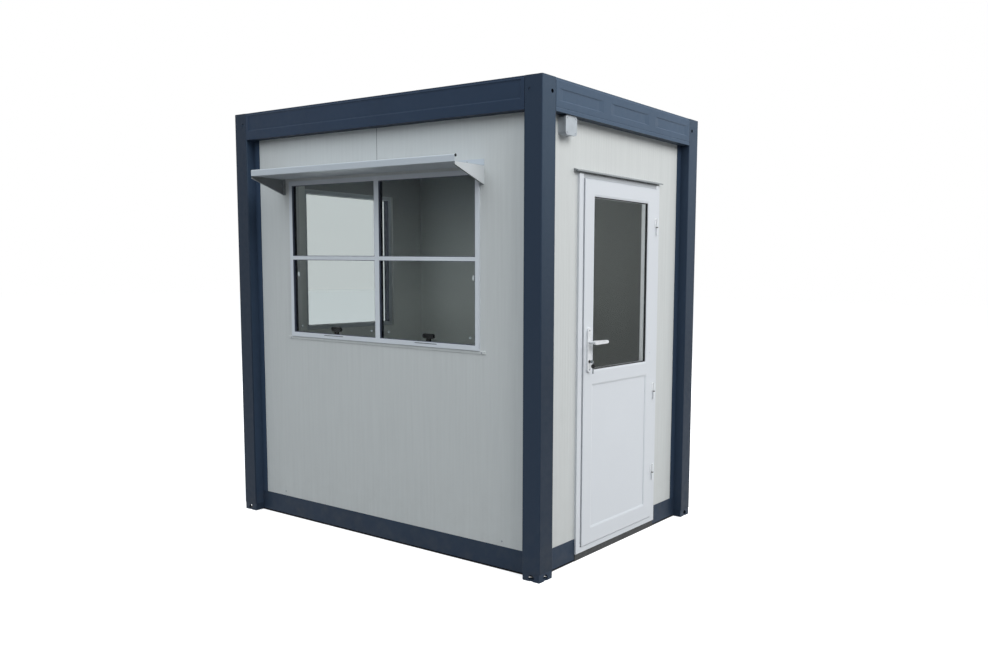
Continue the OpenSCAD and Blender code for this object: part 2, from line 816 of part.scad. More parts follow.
// A bevel round an opening, widest at "face" and closing to the opening's edges over "depth"
module bevel(edges, face, depth) {
    outside = face - sign(depth) * past;
    hull() {
        light(edges, leaf_bevel_w, min(face, outside), past);
        light(edges, 0, min(face, face + depth), abs(depth));
    }
}
module door_leaf() {
    color(door_white) on_door_end() difference() {
        block([-leaf_half, leaf_face, leaf_bottom], [leaf_half, leaf_back, leaf_top]);
        for (edges = [leaf_glass_light(), leaf_panel_light()]) {
            light(edges, 0, leaf_face - past, leaf_t + 2 * past);
            bevel(edges, leaf_face, leaf_bevel_d);
            bevel(edges, leaf_back, -leaf_bevel_d);
        }
        light(leaf_glass_light(), glass_bite, leaf_face + glass_inset, glass_t);
        light(leaf_panel_light(), glass_bite, leaf_face + leaf_panel_inset, leaf_panel_t);
        through_handle(leaf_face - past, leaf_t + 2 * past);
    }
}
module door_glass() {
    color(glass_grey) on_door_end() light(leaf_glass_light(), glass_bite, leaf_face + glass_inset, glass_t);
}
module door_panel() {
    color(door_white) on_door_end()
        light(leaf_panel_light(), glass_bite, leaf_face + leaf_panel_inset, leaf_panel_t);
}

// A round bar through the door from its outer side
module cross_bar(z, radius, face, depth) {
    translate([lever_s, face, z]) rotate([-90, 0, 0]) cylinder(r = radius, h = depth);
}
module through_handle(face, depth) {
    cross_bar(lever_z, spindle_r + pin_clearance, face, depth);
    cross_bar(lock_z, lock_r + pin_clearance, face, depth);
}
module handle_plates() {
    base_t = plate_t - plate_step;
    plate_bottom = plate_top - plate_h;
    color(frame_white) on_door_end() for (inside = [false, true]) {
        face = inside ? leaf_back : leaf_face - plate_t;
        base_face = inside ? leaf_back : leaf_face - base_t;
        difference() {
            translate([lever_s, 0, 0]) {
                upright(base_face, base_t) stadium(plate_w, plate_bottom, plate_top);
                upright(face, plate_t)
                    stadium(plate_w - 2 * plate_step, plate_bottom + plate_step, plate_top - plate_step);
            }
            through_handle(face - past, plate_t + 2 * past);
        }
    }
}
module lock_cylinder() {
    proud = plate_t + lock_proud;
    color(lock_brass) on_door_end() cross_bar(lock_z, lock_r, leaf_face - proud, leaf_t + 2 * proud);
}

// The two levers and the spindle that joins them through the leaf
module lever_outline() {
    root_r = lever_h / 2;
    tip_r = lever_tip_h / 2;
    span = lever_l - tip_r;
    lean = acos((root_r - tip_r) / span);
    touch = [cos(lean), sin(lean)];
    low_touch = [cos(lean), -sin(lean)];
    circle(r = root_r);
    translate([span, 0]) circle(r = tip_r);
    polygon([root_r * touch, root_r * low_touch, [span, 0] + tip_r * low_touch, [span, 0] + tip_r * touch]);
}
module lever(face) {
    upright(face, lever_t) translate([lever_s, lever_z]) lever_outline();
}
module lever_handle() {
    outer_plate = leaf_face - plate_t;
    inner_plate = leaf_back + plate_t;
    color(frame_white) on_door_end() {
        cross_bar(lever_z, spindle_r, outer_plate - past, inner_plate - outer_plate + 2 * past);
        cross_bar(lever_z, lever_neck_r, outer_plate - lever_reach, lever_reach - pin_clearance);
        cross_bar(lever_z, lever_neck_r, inner_plate + pin_clearance, lever_reach - pin_clearance);
        lever(outer_plate - lever_reach - lever_t / 2);
        lever(inner_plate + lever_reach - lever_t / 2);
    }
}

// The hinges: the lower halves with the pins are on the frame, the upper halves on the leaf
function hinge_heights() = [leaf_bottom + hinge_up, leaf_bottom + hinge_middle_up, leaf_top - hinge_down];
module barrel(low, high, radius) {
    translate([hinge_axis_s, hinge_axis_v, low]) cylinder(r = radius, h = high - low);
}
module hinge_frame_halves() {
    plate_s = door_opening_half + hinge_play / 2;
    color(frame_white) on_door_end() for (z = hinge_heights()) {
        low = z - hinge_h / 2;
        high = z - hinge_play / 2;
        barrel(low, high, hinge_r);
        barrel(low, z + hinge_h / 2 - hinge_r, hinge_pin_r);
        block([plate_s, hinge_axis_v, low], [plate_s + hinge_plate_t, door_face, high]);
        block([plate_s, door_face - hinge_plate_t, low], [plate_s + hinge_plate_w, door_face, high]);
    }
}
module hinge_door_halves() {
    color(frame_white) on_door_end() for (z = hinge_heights()) {
        low = z + hinge_play / 2;
        high = z + hinge_h / 2;
        difference() {
            union() {
                barrel(low, high, hinge_r);
                block([hinge_axis_s - hinge_plate_w, leaf_face - hinge_plate_t, low],
                    [hinge_axis_s, leaf_face, high]);
            }
            barrel(low - past, high - hinge_r + pin_clearance, hinge_pin_r + pin_clearance);
        }
    }
}

post_front_left();
post_front_right();
post_back_left();
post_back_right();
corner_feet();
roof_beam_front();
roof_beam_back();
roof_beam_door_end();
roof_beam_far_end();
floor_beam_front();
floor_beam_back();
floor_beam_door_end();
floor_beam_far_end();
floor_deck();
ceiling_panel();
roof_sheet();
front_wall_left();
front_wall_right();
back_wall_left();
back_wall_right();
far_end_wall();
door_end_wall_front();
door_end_wall_back();
door_end_wall_top();
window_frame();
window_panes();
window_handles();
window_sill();
awning_sheet();
awning_brackets();
end_window_frame();
end_window_pane();
door_jambs();
door_head();
door_threshold();
door_drip_cap();
junction_box();
door_leaf();
door_glass();
door_panel();
handle_plates();
lock_cylinder();
hinge_frame_halves();
hinge_door_halves();
lever_handle();
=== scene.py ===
"""Looks of the security guard booth: finishes, small fittings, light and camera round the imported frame."""

import math

import bmesh
import bpy
from mathutils import Matrix, Vector


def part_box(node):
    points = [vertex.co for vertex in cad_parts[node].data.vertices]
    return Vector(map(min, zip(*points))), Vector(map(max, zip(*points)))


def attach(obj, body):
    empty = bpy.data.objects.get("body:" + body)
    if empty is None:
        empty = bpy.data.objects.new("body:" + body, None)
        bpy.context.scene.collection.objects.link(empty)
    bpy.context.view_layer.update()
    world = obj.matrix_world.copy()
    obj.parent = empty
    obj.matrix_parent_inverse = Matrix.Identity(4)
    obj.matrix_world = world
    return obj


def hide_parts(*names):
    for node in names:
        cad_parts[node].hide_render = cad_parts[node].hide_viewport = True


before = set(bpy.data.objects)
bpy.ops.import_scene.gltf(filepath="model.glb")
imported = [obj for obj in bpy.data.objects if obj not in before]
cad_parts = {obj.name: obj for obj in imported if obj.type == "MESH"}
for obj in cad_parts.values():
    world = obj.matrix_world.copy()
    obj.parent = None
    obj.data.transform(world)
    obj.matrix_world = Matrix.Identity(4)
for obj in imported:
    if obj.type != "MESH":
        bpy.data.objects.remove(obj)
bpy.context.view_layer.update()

# Sizes taken from the frame, in metres
MM = 0.001
HALF_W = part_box("post_front_right")[1].x
HALF_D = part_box("post_back_right")[1].y
WALL_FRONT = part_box("front_wall_left")[0].y
WALL_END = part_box("door_end_wall_front")[1].x
WALL_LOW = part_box("floor_beam_front")[1].z
WALL_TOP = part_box("roof_beam_front")[0].z
ROOF_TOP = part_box("roof_beam_front")[1].z
POST_W = HALF_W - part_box("roof_beam_front")[1].x
RECESS = HALF_W - WALL_END
ROOM_LOW = Vector((
    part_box("far_end_wall")[1].x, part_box("front_wall_left")[1].y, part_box("floor_deck")[1].z))
ROOM_HIGH = Vector((
    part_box("door_end_wall_front")[0].x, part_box("back_wall_left")[0].y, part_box("ceiling_panel")[0].z))

# The photograph's camera: place, turn and framing
CAMERA_AT = (3.8211, -4.2451, 1.5821)
CAMERA_HEADING = 33.56
CAMERA_PITCH = -5.86
CAMERA_ROLL = 0.76
PHOTO_W = 988
PHOTO_H = 648
FOCAL_PX = 887.9
CENTRE_PX = (597.96, 359.39)
SENSOR_MM = 36.0


# Colours

def srgb(red, green, blue):
    """A colour given as 0 to 255, as the linear values that shaders take."""
    def linear(value):
        share = value / 255
        return share / 12.92 if share <= 0.04045 else ((share + 0.055) / 1.055) ** 2.4
    return (linear(red), linear(green), linear(blue), 1.0)


def grey(value):
    """A neutral colour from its linear value."""
    return (value, value, value, 1.0)


def tinted(colour, share):
    """A colour made darker or lighter."""
    return tuple(min(1.0, part * share) for part in colour[:3]) + (1.0,)


NAVY = srgb(44, 57, 74)
BEAM_NAVY = srgb(42, 57, 77)
# Painted sheen: the end beams get a lighter copy of the navy.
SHEEN_END_BEAM_NAVY = srgb(76, 92, 111)
NAVY_DARK = srgb(30, 35, 47)
# Painted sheen: a lighter navy for the posts' upper end faces.
SHEEN_NAVY = srgb(70, 84, 100)
WALL = srgb(212, 215, 214)
# Painted light and shade on the room's lining.
ROOM_LIGHT = srgb(234, 238, 236)
ROOM_DIM = srgb(138, 143, 146)
ROOM_DARK = srgb(151, 154, 152)
DOOR_WHITE = srgb(219, 223, 228)
HEAD_SHADE = srgb(128, 132, 136)
# Painted light: a whiter copy of the door's white for the hinges and the bead behind the door's glass.
PAINTED_LIGHT_WHITE = srgb(242, 244, 246)
FRAME_WHITE = srgb(199, 206, 213)
WINDOW_WHITE = srgb(222, 227, 233)
BRACKET_WHITE = srgb(220, 224, 226)
# Painted shade on the brackets' inner faces under the awning.
BRACKET_SHADE = srgb(136, 140, 142)
DRIP_GREY = srgb(150, 155, 158)
HANDLE_WHITE = srgb(226, 228, 231)
BOX_GREY = srgb(181, 188, 194)
FLOOR_GREY = srgb(150, 150, 148)
ROOF_ZINC = srgb(184, 189, 191)
RUBBER = srgb(24, 25, 28)
GRIP_BLACK = srgb(13, 14, 17)
SEALANT = srgb(38, 46, 58)
GASKET = srgb(72, 78, 94)
# Painted shade: the dark strip under the door's threshold.
STEP_SHADE_GREY = srgb(32, 34, 35)
LOCK_GREY = srgb(72, 70, 66)
SCREW_GREY = srgb(150, 155, 160)
MUD = srgb(120, 112, 100)
DUST = srgb(150, 145, 132)
WINDOW_TINT = (0.70, 0.735, 0.735, 1.0)
DOOR_TINT = (0.95, 0.97, 0.965, 1.0)


# Steps that materials are made of

MIX_FIRST = 6
MIX_SECOND = 7
MIX_RESULT = 2
NOISE_LOW = 0.3
NOISE_HIGH = 0.7


def link(tree, source, target):
    """Joins two sockets."""
    tree.links.new(source, target)


def feed(tree, value, socket):
    """Gives a socket its value, a constant or another socket's."""
    if isinstance(value, bpy.types.NodeSocket):
        link(tree, value, socket)
    else:
        socket.default_value = value


def object_place(tree):
    """The shaded place, in the booth's own metres."""
    return tree.nodes.new("ShaderNodeTexCoord").outputs["Object"]


def split_axes(tree, vector):
    """The X, Y and Z sockets of a vector."""
    node = tree.nodes.new("ShaderNodeSeparateXYZ")
    link(tree, vector, node.inputs["Vector"])
    return node.outputs


def place_axes(tree):
    """The X, Y and Z sockets of the shaded place."""
    return split_axes(tree, object_place(tree))


def facing(tree, axis):
    """How far a face looks along an axis, from -1 to 1."""
    normal = tree.nodes.new("ShaderNodeNewGeometry").outputs["True Normal"]
    return split_axes(tree, normal)[axis]


def mix(tree, factor, first, second):
    """A colour between two, each a colour or a socket."""
    node = tree.nodes.new("ShaderNodeMix")
    node.data_type = "RGBA"
    link(tree, factor, node.inputs[0])
    feed(tree, first, node.inputs[MIX_FIRST])
    feed(tree, second, node.inputs[MIX_SECOND])
    return node.outputs[MIX_RESULT]


def ramp(tree, value, low, high, to_low=0.0, to_high=1.0):
    """A value carried from one range to another, held at the ends."""
    node = tree.nodes.new("ShaderNodeMapRange")
    for name, number in (("From Min", low), ("From Max", high), ("To Min", to_low), ("To Max", to_high)):
        node.inputs[name].default_value = number
    link(tree, value, node.inputs["Value"])
    return node.outputs["Result"]


def math_node(tree, operation, first, second=None):
    """The result of one sum or test, each term a number or a socket."""
    node = tree.nodes.new("ShaderNodeMath")
    node.operation = operation
    feed(tree, first, node.inputs[0])
    if second is not None:
        feed(tree, second, node.inputs[1])
    return node.outputs["Value"]


def noise(tree, scale, detail=3.0, stretch=(1, 1, 1)):
    """Noise in the object's own metres, from 0 to 1, drawn out along the axes with a small stretch."""
    mapping = tree.nodes.new("ShaderNodeMapping")
    mapping.inputs["Scale"].default_value = stretch
    link(tree, object_place(tree), mapping.inputs["Vector"])
    texture = tree.nodes.new("ShaderNodeTexNoise")
    texture.inputs["Scale"].default_value = scale
    texture.inputs["Detail"].default_value = detail
    link(tree, mapping.outputs["Vector"], texture.inputs["Vector"])
    return texture.outputs["Fac"]


def wander(tree, scale, low=0.0, high=1.0, detail=3.0, stretch=(1, 1, 1)):
    """Noise that runs from low to high."""
    return ramp(tree, noise(tree, scale, detail, stretch), NOISE_LOW, NOISE_HIGH, low, high)


def mottled(tree, colour, spread, scale):
    """A colour that wanders a little, as sprayed or coated metal does."""
    clouds = wander(tree, scale, detail=4.0)
    return mix(tree, clouds, tinted(colour, 1 - spread), tinted(colour, 1 + spread))


def with_dirt(tree, colour, dirt, height, most):
    """Splashed dirt that fades out upwards from the ground."""
    low = ramp(tree, place_axes(tree)["Z"], 0.0, height, 1.0, 0.0)
    spots = ramp(tree, noise(tree, 14.0, 6.0), 0.42, 0.75, 0.0, most)
    return mix(tree, math_node(tree, "MULTIPLY", low, spots), colour, dirt)


def add_bump(tree, shader, height, strength, distance):
    """Fine relief on a shader."""
    bump = tree.nodes.new("ShaderNodeBump")
    bump.inputs["Strength"].default_value = strength
    bump.inputs["Distance"].default_value = distance
    link(tree, height, bump.inputs["Height"])
    link(tree, bump.outputs["Normal"], shader.inputs["Normal"])


def new_material(name):
    """An empty material with its node tree and shader."""
    material = bpy.data.materials.new(name)
    material.use_nodes = True
    tree = material.node_tree
    return material, tree, tree.nodes["Principled BSDF"]


# Masks that follow the booth's own faces

def in_room(tree):
    """1 on the room's own faces, 0 outside."""
    place = place_axes(tree)
    margin = 2 * MM
    along = math_node(tree, "ABSOLUTE", place["X"])
    across = math_node(tree, "ABSOLUTE", place["Y"])
    in_length = math_node(tree, "LESS_THAN", along, ROOM_HIGH.x + margin)
    in_depth = math_node(tree, "LESS_THAN", across, ROOM_HIGH.y + margin)
    return math_node(tree, "MULTIPLY", in_length, in_depth)


def on_outer_faces(tree):
    """1 on the outermost faces of the posts, 0 in their folds."""
    place = place_axes(tree)
    fold = 6 * MM
    along = math_node(tree, "ABSOLUTE", place["X"])
    across = math_node(tree, "ABSOLUTE", place["Y"])
    at_end = math_node(tree, "GREATER_THAN", along, HALF_W - fold)
    at_front = math_node(tree, "GREATER_THAN", across, HALF_D - fold)
    return math_node(tree, "MAXIMUM", at_end, at_front)


def behind_glass(tree):
    """1 behind the front window's glass, where the frame's inner half shows."""
    return math_node(tree, "GREATER_THAN", place_axes(tree)["Y"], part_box("window_panes")[0].y + MM)


def between_brackets(tree):
    """1 on the awning brackets' inner faces, which get painted shade from the awning."""
    low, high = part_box("awning_brackets")
    from_middle = math_node(tree, "SUBTRACT", place_axes(tree)["X"], (low.x + high.x) / 2)
    return math_node(tree, "LESS_THAN", math_node(tree, "ABSOLUTE", from_middle), (high.x - low.x) / 2 - MM)


def drip_cap_shadow(tree):
    """Rises to 1 up the door head, where the drip cap's shadow is painted."""
    low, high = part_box("door_head")
    clean = 4 * MM
    return ramp(tree, place_axes(tree)["Z"], low.z + clean, high.z)


# Materials

PAINT_CLOUDS = 2.5
MUD_HEIGHT = 0.35
DUST_HEIGHT = 0.5
# Painted sheen and shade on the posts: the heights of the sheen, and shares for shaded and lit faces.
SHEEN_LOW = 1.0
SHEEN_HIGH = 2.45
GROUND_SHADE = 0.63
LEFT_SHADE = 0.74
FOLD_LIGHT = 1.3
LEFT_FOLD_LIGHT = 1.6
PANE_IOR = 1.1


def painted_sheen_and_shade(tree, colour):
    """The posts' paint with painted sheen and shade: end faces lighter towards the top and darker near the
    ground, folds lighter, the left posts' fronts darker.
    """
    on_end = ramp(tree, math_node(tree, "ABSOLUTE", facing(tree, "X")), 0.3, 0.9)
    place = place_axes(tree)
    upwards = ramp(tree, place["Z"], SHEEN_LOW, SHEEN_HIGH)
    sheen_by_height = mix(tree, upwards, tinted(colour, GROUND_SHADE), SHEEN_NAVY)
    on_left = math_node(tree, "LESS_THAN", place["X"], 0.0)
    front_face = mix(tree, on_left, colour, tinted(colour, LEFT_SHADE))
    fold_face = mix(tree, on_left, tinted(colour, FOLD_LIGHT), tinted(colour, LEFT_FOLD_LIGHT))
    return mix(tree, on_outer_faces(tree), fold_face, mix(tree, on_end, front_face, sheen_by_height))


def sprayed(tree, shader, body, roughness, specular, peel):
    """Finishes paint: its colour, uneven gloss and orange peel."""
    link(tree, body, shader.inputs["Base Color"])
    shader.inputs["Specular IOR Level"].default_value = specular
    link(tree, wander(tree, 30.0, roughness - 0.06, roughness + 0.06), shader.inputs["Roughness"])
    add_bump(tree, shader, noise(tree, 700.0, 2.0), peel, 0.4 * MM)


def painted(name, colour, roughness, specular=0.5, spread=0.03, peel=0.05,
            splash=0.0, sheen_and_shade=False, under=1.0):
    """Sprayed paint, where asked with painted sheen and shade on the posts, with painted shade on faces that
    look down, and splashed with mud.
    """
    material, tree, shader = new_material(name)
    body = mottled(tree, colour, spread, PAINT_CLOUDS)
    # Painted sheen and shade on the posts, laid in random patches.
    if sheen_and_shade:
        patches = ramp(tree, noise(tree, PAINT_CLOUDS, 4.0), 0.2, 0.8, 0.7, 1.0)
        body = mix(tree, patches, body, painted_sheen_and_shade(tree, colour))
    # Painted shade: faces that look down are darkened.
    if under < 1.0:
        looks_down = ramp(tree, facing(tree, "Z"), -0.75, -0.98)
        body = mix(tree, looks_down, body, tinted(colour, under))
    if splash:
        body = with_dirt(tree, body, MUD, MUD_HEIGHT, splash)
    sprayed(tree, shader, body, roughness, specular, peel)
    return material


def two_tone_and_shade(name, outer, inner, mask):
    """Two colours split by a mask, the inner one where the mask is 1: a second paint on the window frame,
    painted shade on the door head and the brackets.
    """
    material, tree, shader = new_material(name)
    body = mix(tree, mask(tree), mottled(tree, outer, 0.02, 4.0), mottled(tree, inner, 0.06, 6.0))
    sprayed(tree, shader, body, roughness=0.42, specular=0.4, peel=0.04)
    return material


def room_lining_shade(tree):
    """Painted light and shade on the wall's inner coat: pale low down and beside the far window, darker
    above and by the door.
    """
    place = place_axes(tree)
    lining = mix(tree, ramp(tree, place["Z"], 1.3, 2.2), ROOM_LIGHT, ROOM_DIM)
    lining = mix(tree, ramp(tree, place["X"], -0.2, 0.5), lining, ROOM_DARK)
    at_far_end = math_node(tree, "LESS_THAN", place["X"], ROOM_LOW.x + MM)
    by_window = math_node(tree, "LESS_THAN", place["Y"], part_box("end_window_frame")[0].y)
    return mix(tree, math_node(tree, "MULTIPLY", at_far_end, by_window), lining, ROOM_LIGHT)


def coated_panel():
    """Coil-coated wall sheet: faint upright streaks outside, painted light and shade on the lining inside.
    """
    material, tree, shader = new_material("coated_panel")
    streaks = wander(tree, 9.0, stretch=(6, 6, 0.25))
    body = mix(tree, streaks, tinted(WALL, 0.965), tinted(WALL, 1.02))
    cloud = ramp(tree, noise(tree, 1.3), 0.35, 0.7, 0.0, 0.35)
    body = mix(tree, cloud, body, tinted(WALL, 0.94))
    body = with_dirt(tree, body, DUST, DUST_HEIGHT, 0.1)
    link(tree, mix(tree, in_room(tree), body, room_lining_shade(tree)), shader.inputs["Base Color"])
    shader.inputs["Specular IOR Level"].default_value = 0.35
    link(tree, wander(tree, 22.0, 0.42, 0.55), shader.inputs["Roughness"])
    add_bump(tree, shader, noise(tree, 500.0, 2.0), 0.04, 0.4 * MM)
    return material


def sheet_glass(name, tint):
    """Flat glass with weak reflections and faint smears."""
    material, tree, shader = new_material(name)
    shader.inputs["Base Color"].default_value = tint
    shader.inputs["Transmission Weight"].default_value = 1.0
    shader.inputs["IOR"].default_value = PANE_IOR
    smears = ramp(tree, noise(tree, 5.0, 5.0, (1, 1, 0.5)), 0.45, 0.8, 0.0, 0.05)
    link(tree, smears, shader.inputs["Roughness"])
    return material


def moulded(name, colour, roughness, grain=350.0, relief=0.12, specular=0.5):
    """Moulded plastic or rubber with a fine grain."""
    material, tree, shader = new_material(name)
    link(tree, mottled(tree, colour, 0.06, 25.0), shader.inputs["Base Color"])
    shader.inputs["Specular IOR Level"].default_value = specular
    link(tree, wander(tree, 60.0, roughness - 0.07, roughness + 0.07), shader.inputs["Roughness"])
    add_bump(tree, shader, noise(tree, grain), relief, 0.5 * MM)
    return material


def bare_metal(name, colour, roughness):
    """Plated or turned metal with fine scratches."""
    material, tree, shader = new_material(name)
    scratches = noise(tree, 120.0, 5.0, (1, 1, 6))
    link(tree, mix(tree, scratches, tinted(colour, 0.85), tinted(colour, 1.1)), shader.inputs["Base Color"])
    shader.inputs["Metallic"].default_value = 1.0
    dullness = ramp(tree, scratches, NOISE_LOW, NOISE_HIGH, roughness - 0.08, roughness + 0.08)
    link(tree, dullness, shader.inputs["Roughness"])
    return material


def vinyl_floor():
    """Speckled floor covering."""
    material, tree, shader = new_material("vinyl_floor")
    specks = ramp(tree, noise(tree, 220.0, 4.0), 0.45, 0.6)
    body = mix(tree, specks, tinted(FLOOR_GREY, 0.8), tinted(FLOOR_GREY, 1.15))
    link(tree, body, shader.inputs["Base Color"])
    link(tree, wander(tree, 8.0, 0.4, 0.6), shader.inputs["Roughness"])
    add_bump(tree, shader, specks, 0.08, 0.6 * MM)
    return material


NAVY_STEEL = painted("navy_steel", NAVY, 0.5, specular=0.12, spread=0.06, peel=0.07, splash=0.1)
POST_STEEL = painted("post_steel", NAVY, 0.5, specular=0.12, spread=0.06, peel=0.07, splash=0.1,
                     sheen_and_shade=True)
# The roof beams' undersides carry painted shade.
BEAM_STEEL = painted("beam_steel", BEAM_NAVY, 0.5, specular=0.14, spread=0.06, peel=0.07, under=0.45)
END_BEAM_STEEL = painted("end_beam_steel", SHEEN_END_BEAM_NAVY, 0.5, specular=0.14, spread=0.05, peel=0.07,
                         under=0.35)
WALL_PANEL = coated_panel()
DOOR_PVC = painted("door_pvc", DOOR_WHITE, 0.34, specular=0.45, spread=0.012, peel=0.02)
# Painted shadow on the door head under the drip cap.
HEAD_PVC = two_tone_and_shade("head_pvc", DOOR_WHITE, HEAD_SHADE, drip_cap_shadow)
# Painted light on the hinges and the glazing bead.
PAINTED_LIGHT_PVC = painted("painted_light_pvc", PAINTED_LIGHT_WHITE, 0.34, specular=0.45, spread=0.012, peel=0.02)
WHITE_PAINT = painted("white_paint", FRAME_WHITE, 0.42, specular=0.4, spread=0.025)
WINDOW_PAINT = two_tone_and_shade("window_paint", WINDOW_WHITE, NAVY_DARK, behind_glass)
BRACKET_PAINT = two_tone_and_shade("bracket_paint", BRACKET_WHITE, BRACKET_SHADE, between_brackets)
DRIP_PAINT = painted("drip_paint", DRIP_GREY, 0.45, specular=0.35)
HANDLE_PLASTIC = moulded("handle_plastic", HANDLE_WHITE, 0.28, grain=900.0)
BOX_PLASTIC = moulded("box_plastic", BOX_GREY, 0.5)
WINDOW_GLASS = sheet_glass("window_glass", WINDOW_TINT)
DOOR_GLASS = sheet_glass("door_glass", DOOR_TINT)
BLACK_RUBBER = moulded("black_rubber", RUBBER, 0.62)
BLACK_GRIP = moulded("black_grip", GRIP_BLACK, 0.5, relief=0.02, specular=0.2)
DARK_SEALANT = moulded("dark_sealant", SEALANT, 0.55)
GASKET_RUBBER = moulded("gasket_rubber", GASKET, 0.6)
STEP_SHADE_MATERIAL = moulded("step_shade", STEP_SHADE_GREY, 0.6)
ROOF_SHEET = bare_metal("roof_zinc", ROOF_ZINC, 0.45)
LOCK_METAL = bare_metal("lock_metal", LOCK_GREY, 0.3)
SCREW_STEEL = bare_metal("screw_steel", SCREW_GREY, 0.38)
FLOOR_VINYL = vinyl_floor()

FINISHES = {
    NAVY_STEEL: [
        "corner_feet", "floor_beam_front", "floor_beam_back", "floor_beam_door_end", "floor_beam_far_end"],
    POST_STEEL: ["post_front_left", "post_front_right", "post_back_left", "post_back_right"],
    BEAM_STEEL: ["roof_beam_front", "roof_beam_back"],
    END_BEAM_STEEL: ["roof_beam_door_end", "roof_beam_far_end"],
    WALL_PANEL: [
        "front_wall_left", "front_wall_right", "back_wall_left", "back_wall_right", "far_end_wall",
        "door_end_wall_front", "door_end_wall_back", "door_end_wall_top", "ceiling_panel", "window_sill"],
    DOOR_PVC: ["door_jambs", "door_threshold", "door_leaf", "door_panel"],
    HEAD_PVC: ["door_head"],
    PAINTED_LIGHT_PVC: ["hinge_frame_halves", "hinge_door_halves"],
    WHITE_PAINT: ["awning_sheet", "end_window_frame"],
    WINDOW_PAINT: ["window_frame"],
    BRACKET_PAINT: ["awning_brackets"],
    DRIP_PAINT: ["door_drip_cap"],
    HANDLE_PLASTIC: ["handle_plates", "lever_handle"],
    BOX_PLASTIC: ["junction_box"],
    WINDOW_GLASS: ["window_panes", "end_window_pane"],
    DOOR_GLASS: ["door_glass"],
    BLACK_GRIP: ["window_handles"],
    ROOF_SHEET: ["roof_sheet"],
    LOCK_METAL: ["lock_cylinder"],
    FLOOR_VINYL: ["floor_deck"],
}


def dress_nodes():
    """Gives every CAD node its finish."""
    for material, names in FINISHES.items():
        for name in names:
            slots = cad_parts[name].material_slots
            for slot in slots:
                slot.material = material


# Shapes

class Side:
    """One side of the booth: s runs along it to the right as seen from outside, out points away."""

    def __init__(self, along, out, distance, half):
        self.along = Vector(along)
        self.out = Vector(out)
        self.distance = distance
        self.half = half

    def at(self, s, out, z):
        """A point at s along the side and z up, out from the wall's face."""
        return self.along * s + self.out * (self.distance + out) + Vector((0, 0, z))

    def rectangle(self, s, out, z):
        """The corners between limits along and up, at one distance out."""
        return [self.at(s[0], out, z[0]), self.at(s[1], out, z[0]),
                self.at(s[1], out, z[1]), self.at(s[0], out, z[1])]


FRONT = Side((1, 0, 0), (0, -1, 0), -WALL_FRONT, HALF_W)
BACK = Side((-1, 0, 0), (0, 1, 0), -WALL_FRONT, HALF_W)
DOOR_END = Side((0, 1, 0), (1, 0, 0), WALL_END, HALF_D)
FAR_END = Side((0, -1, 0), (-1, 0, 0), WALL_END, HALF_D)
LONG_SIDES = (FRONT, BACK)
END_SIDES = (DOOR_END, FAR_END)
UP = Vector((0, 0, 1))


def on_circle(radius, step, steps):
    """A point on a circle, a number of steps round it."""
    angle = 2 * math.pi * step / steps
    return radius * math.cos(angle), radius * math.sin(angle)


def scaled(profile, size):
    """A profile of radius and height pairs, made larger or smaller."""
    return [(radius * size, height * size) for radius, height in profile]


def round_disc(radius, thick):
    """The profile of a disc with its rims broken."""
    return [(radius - MM, 0), (radius, MM), (radius, thick - MM), (radius - MM, thick)]


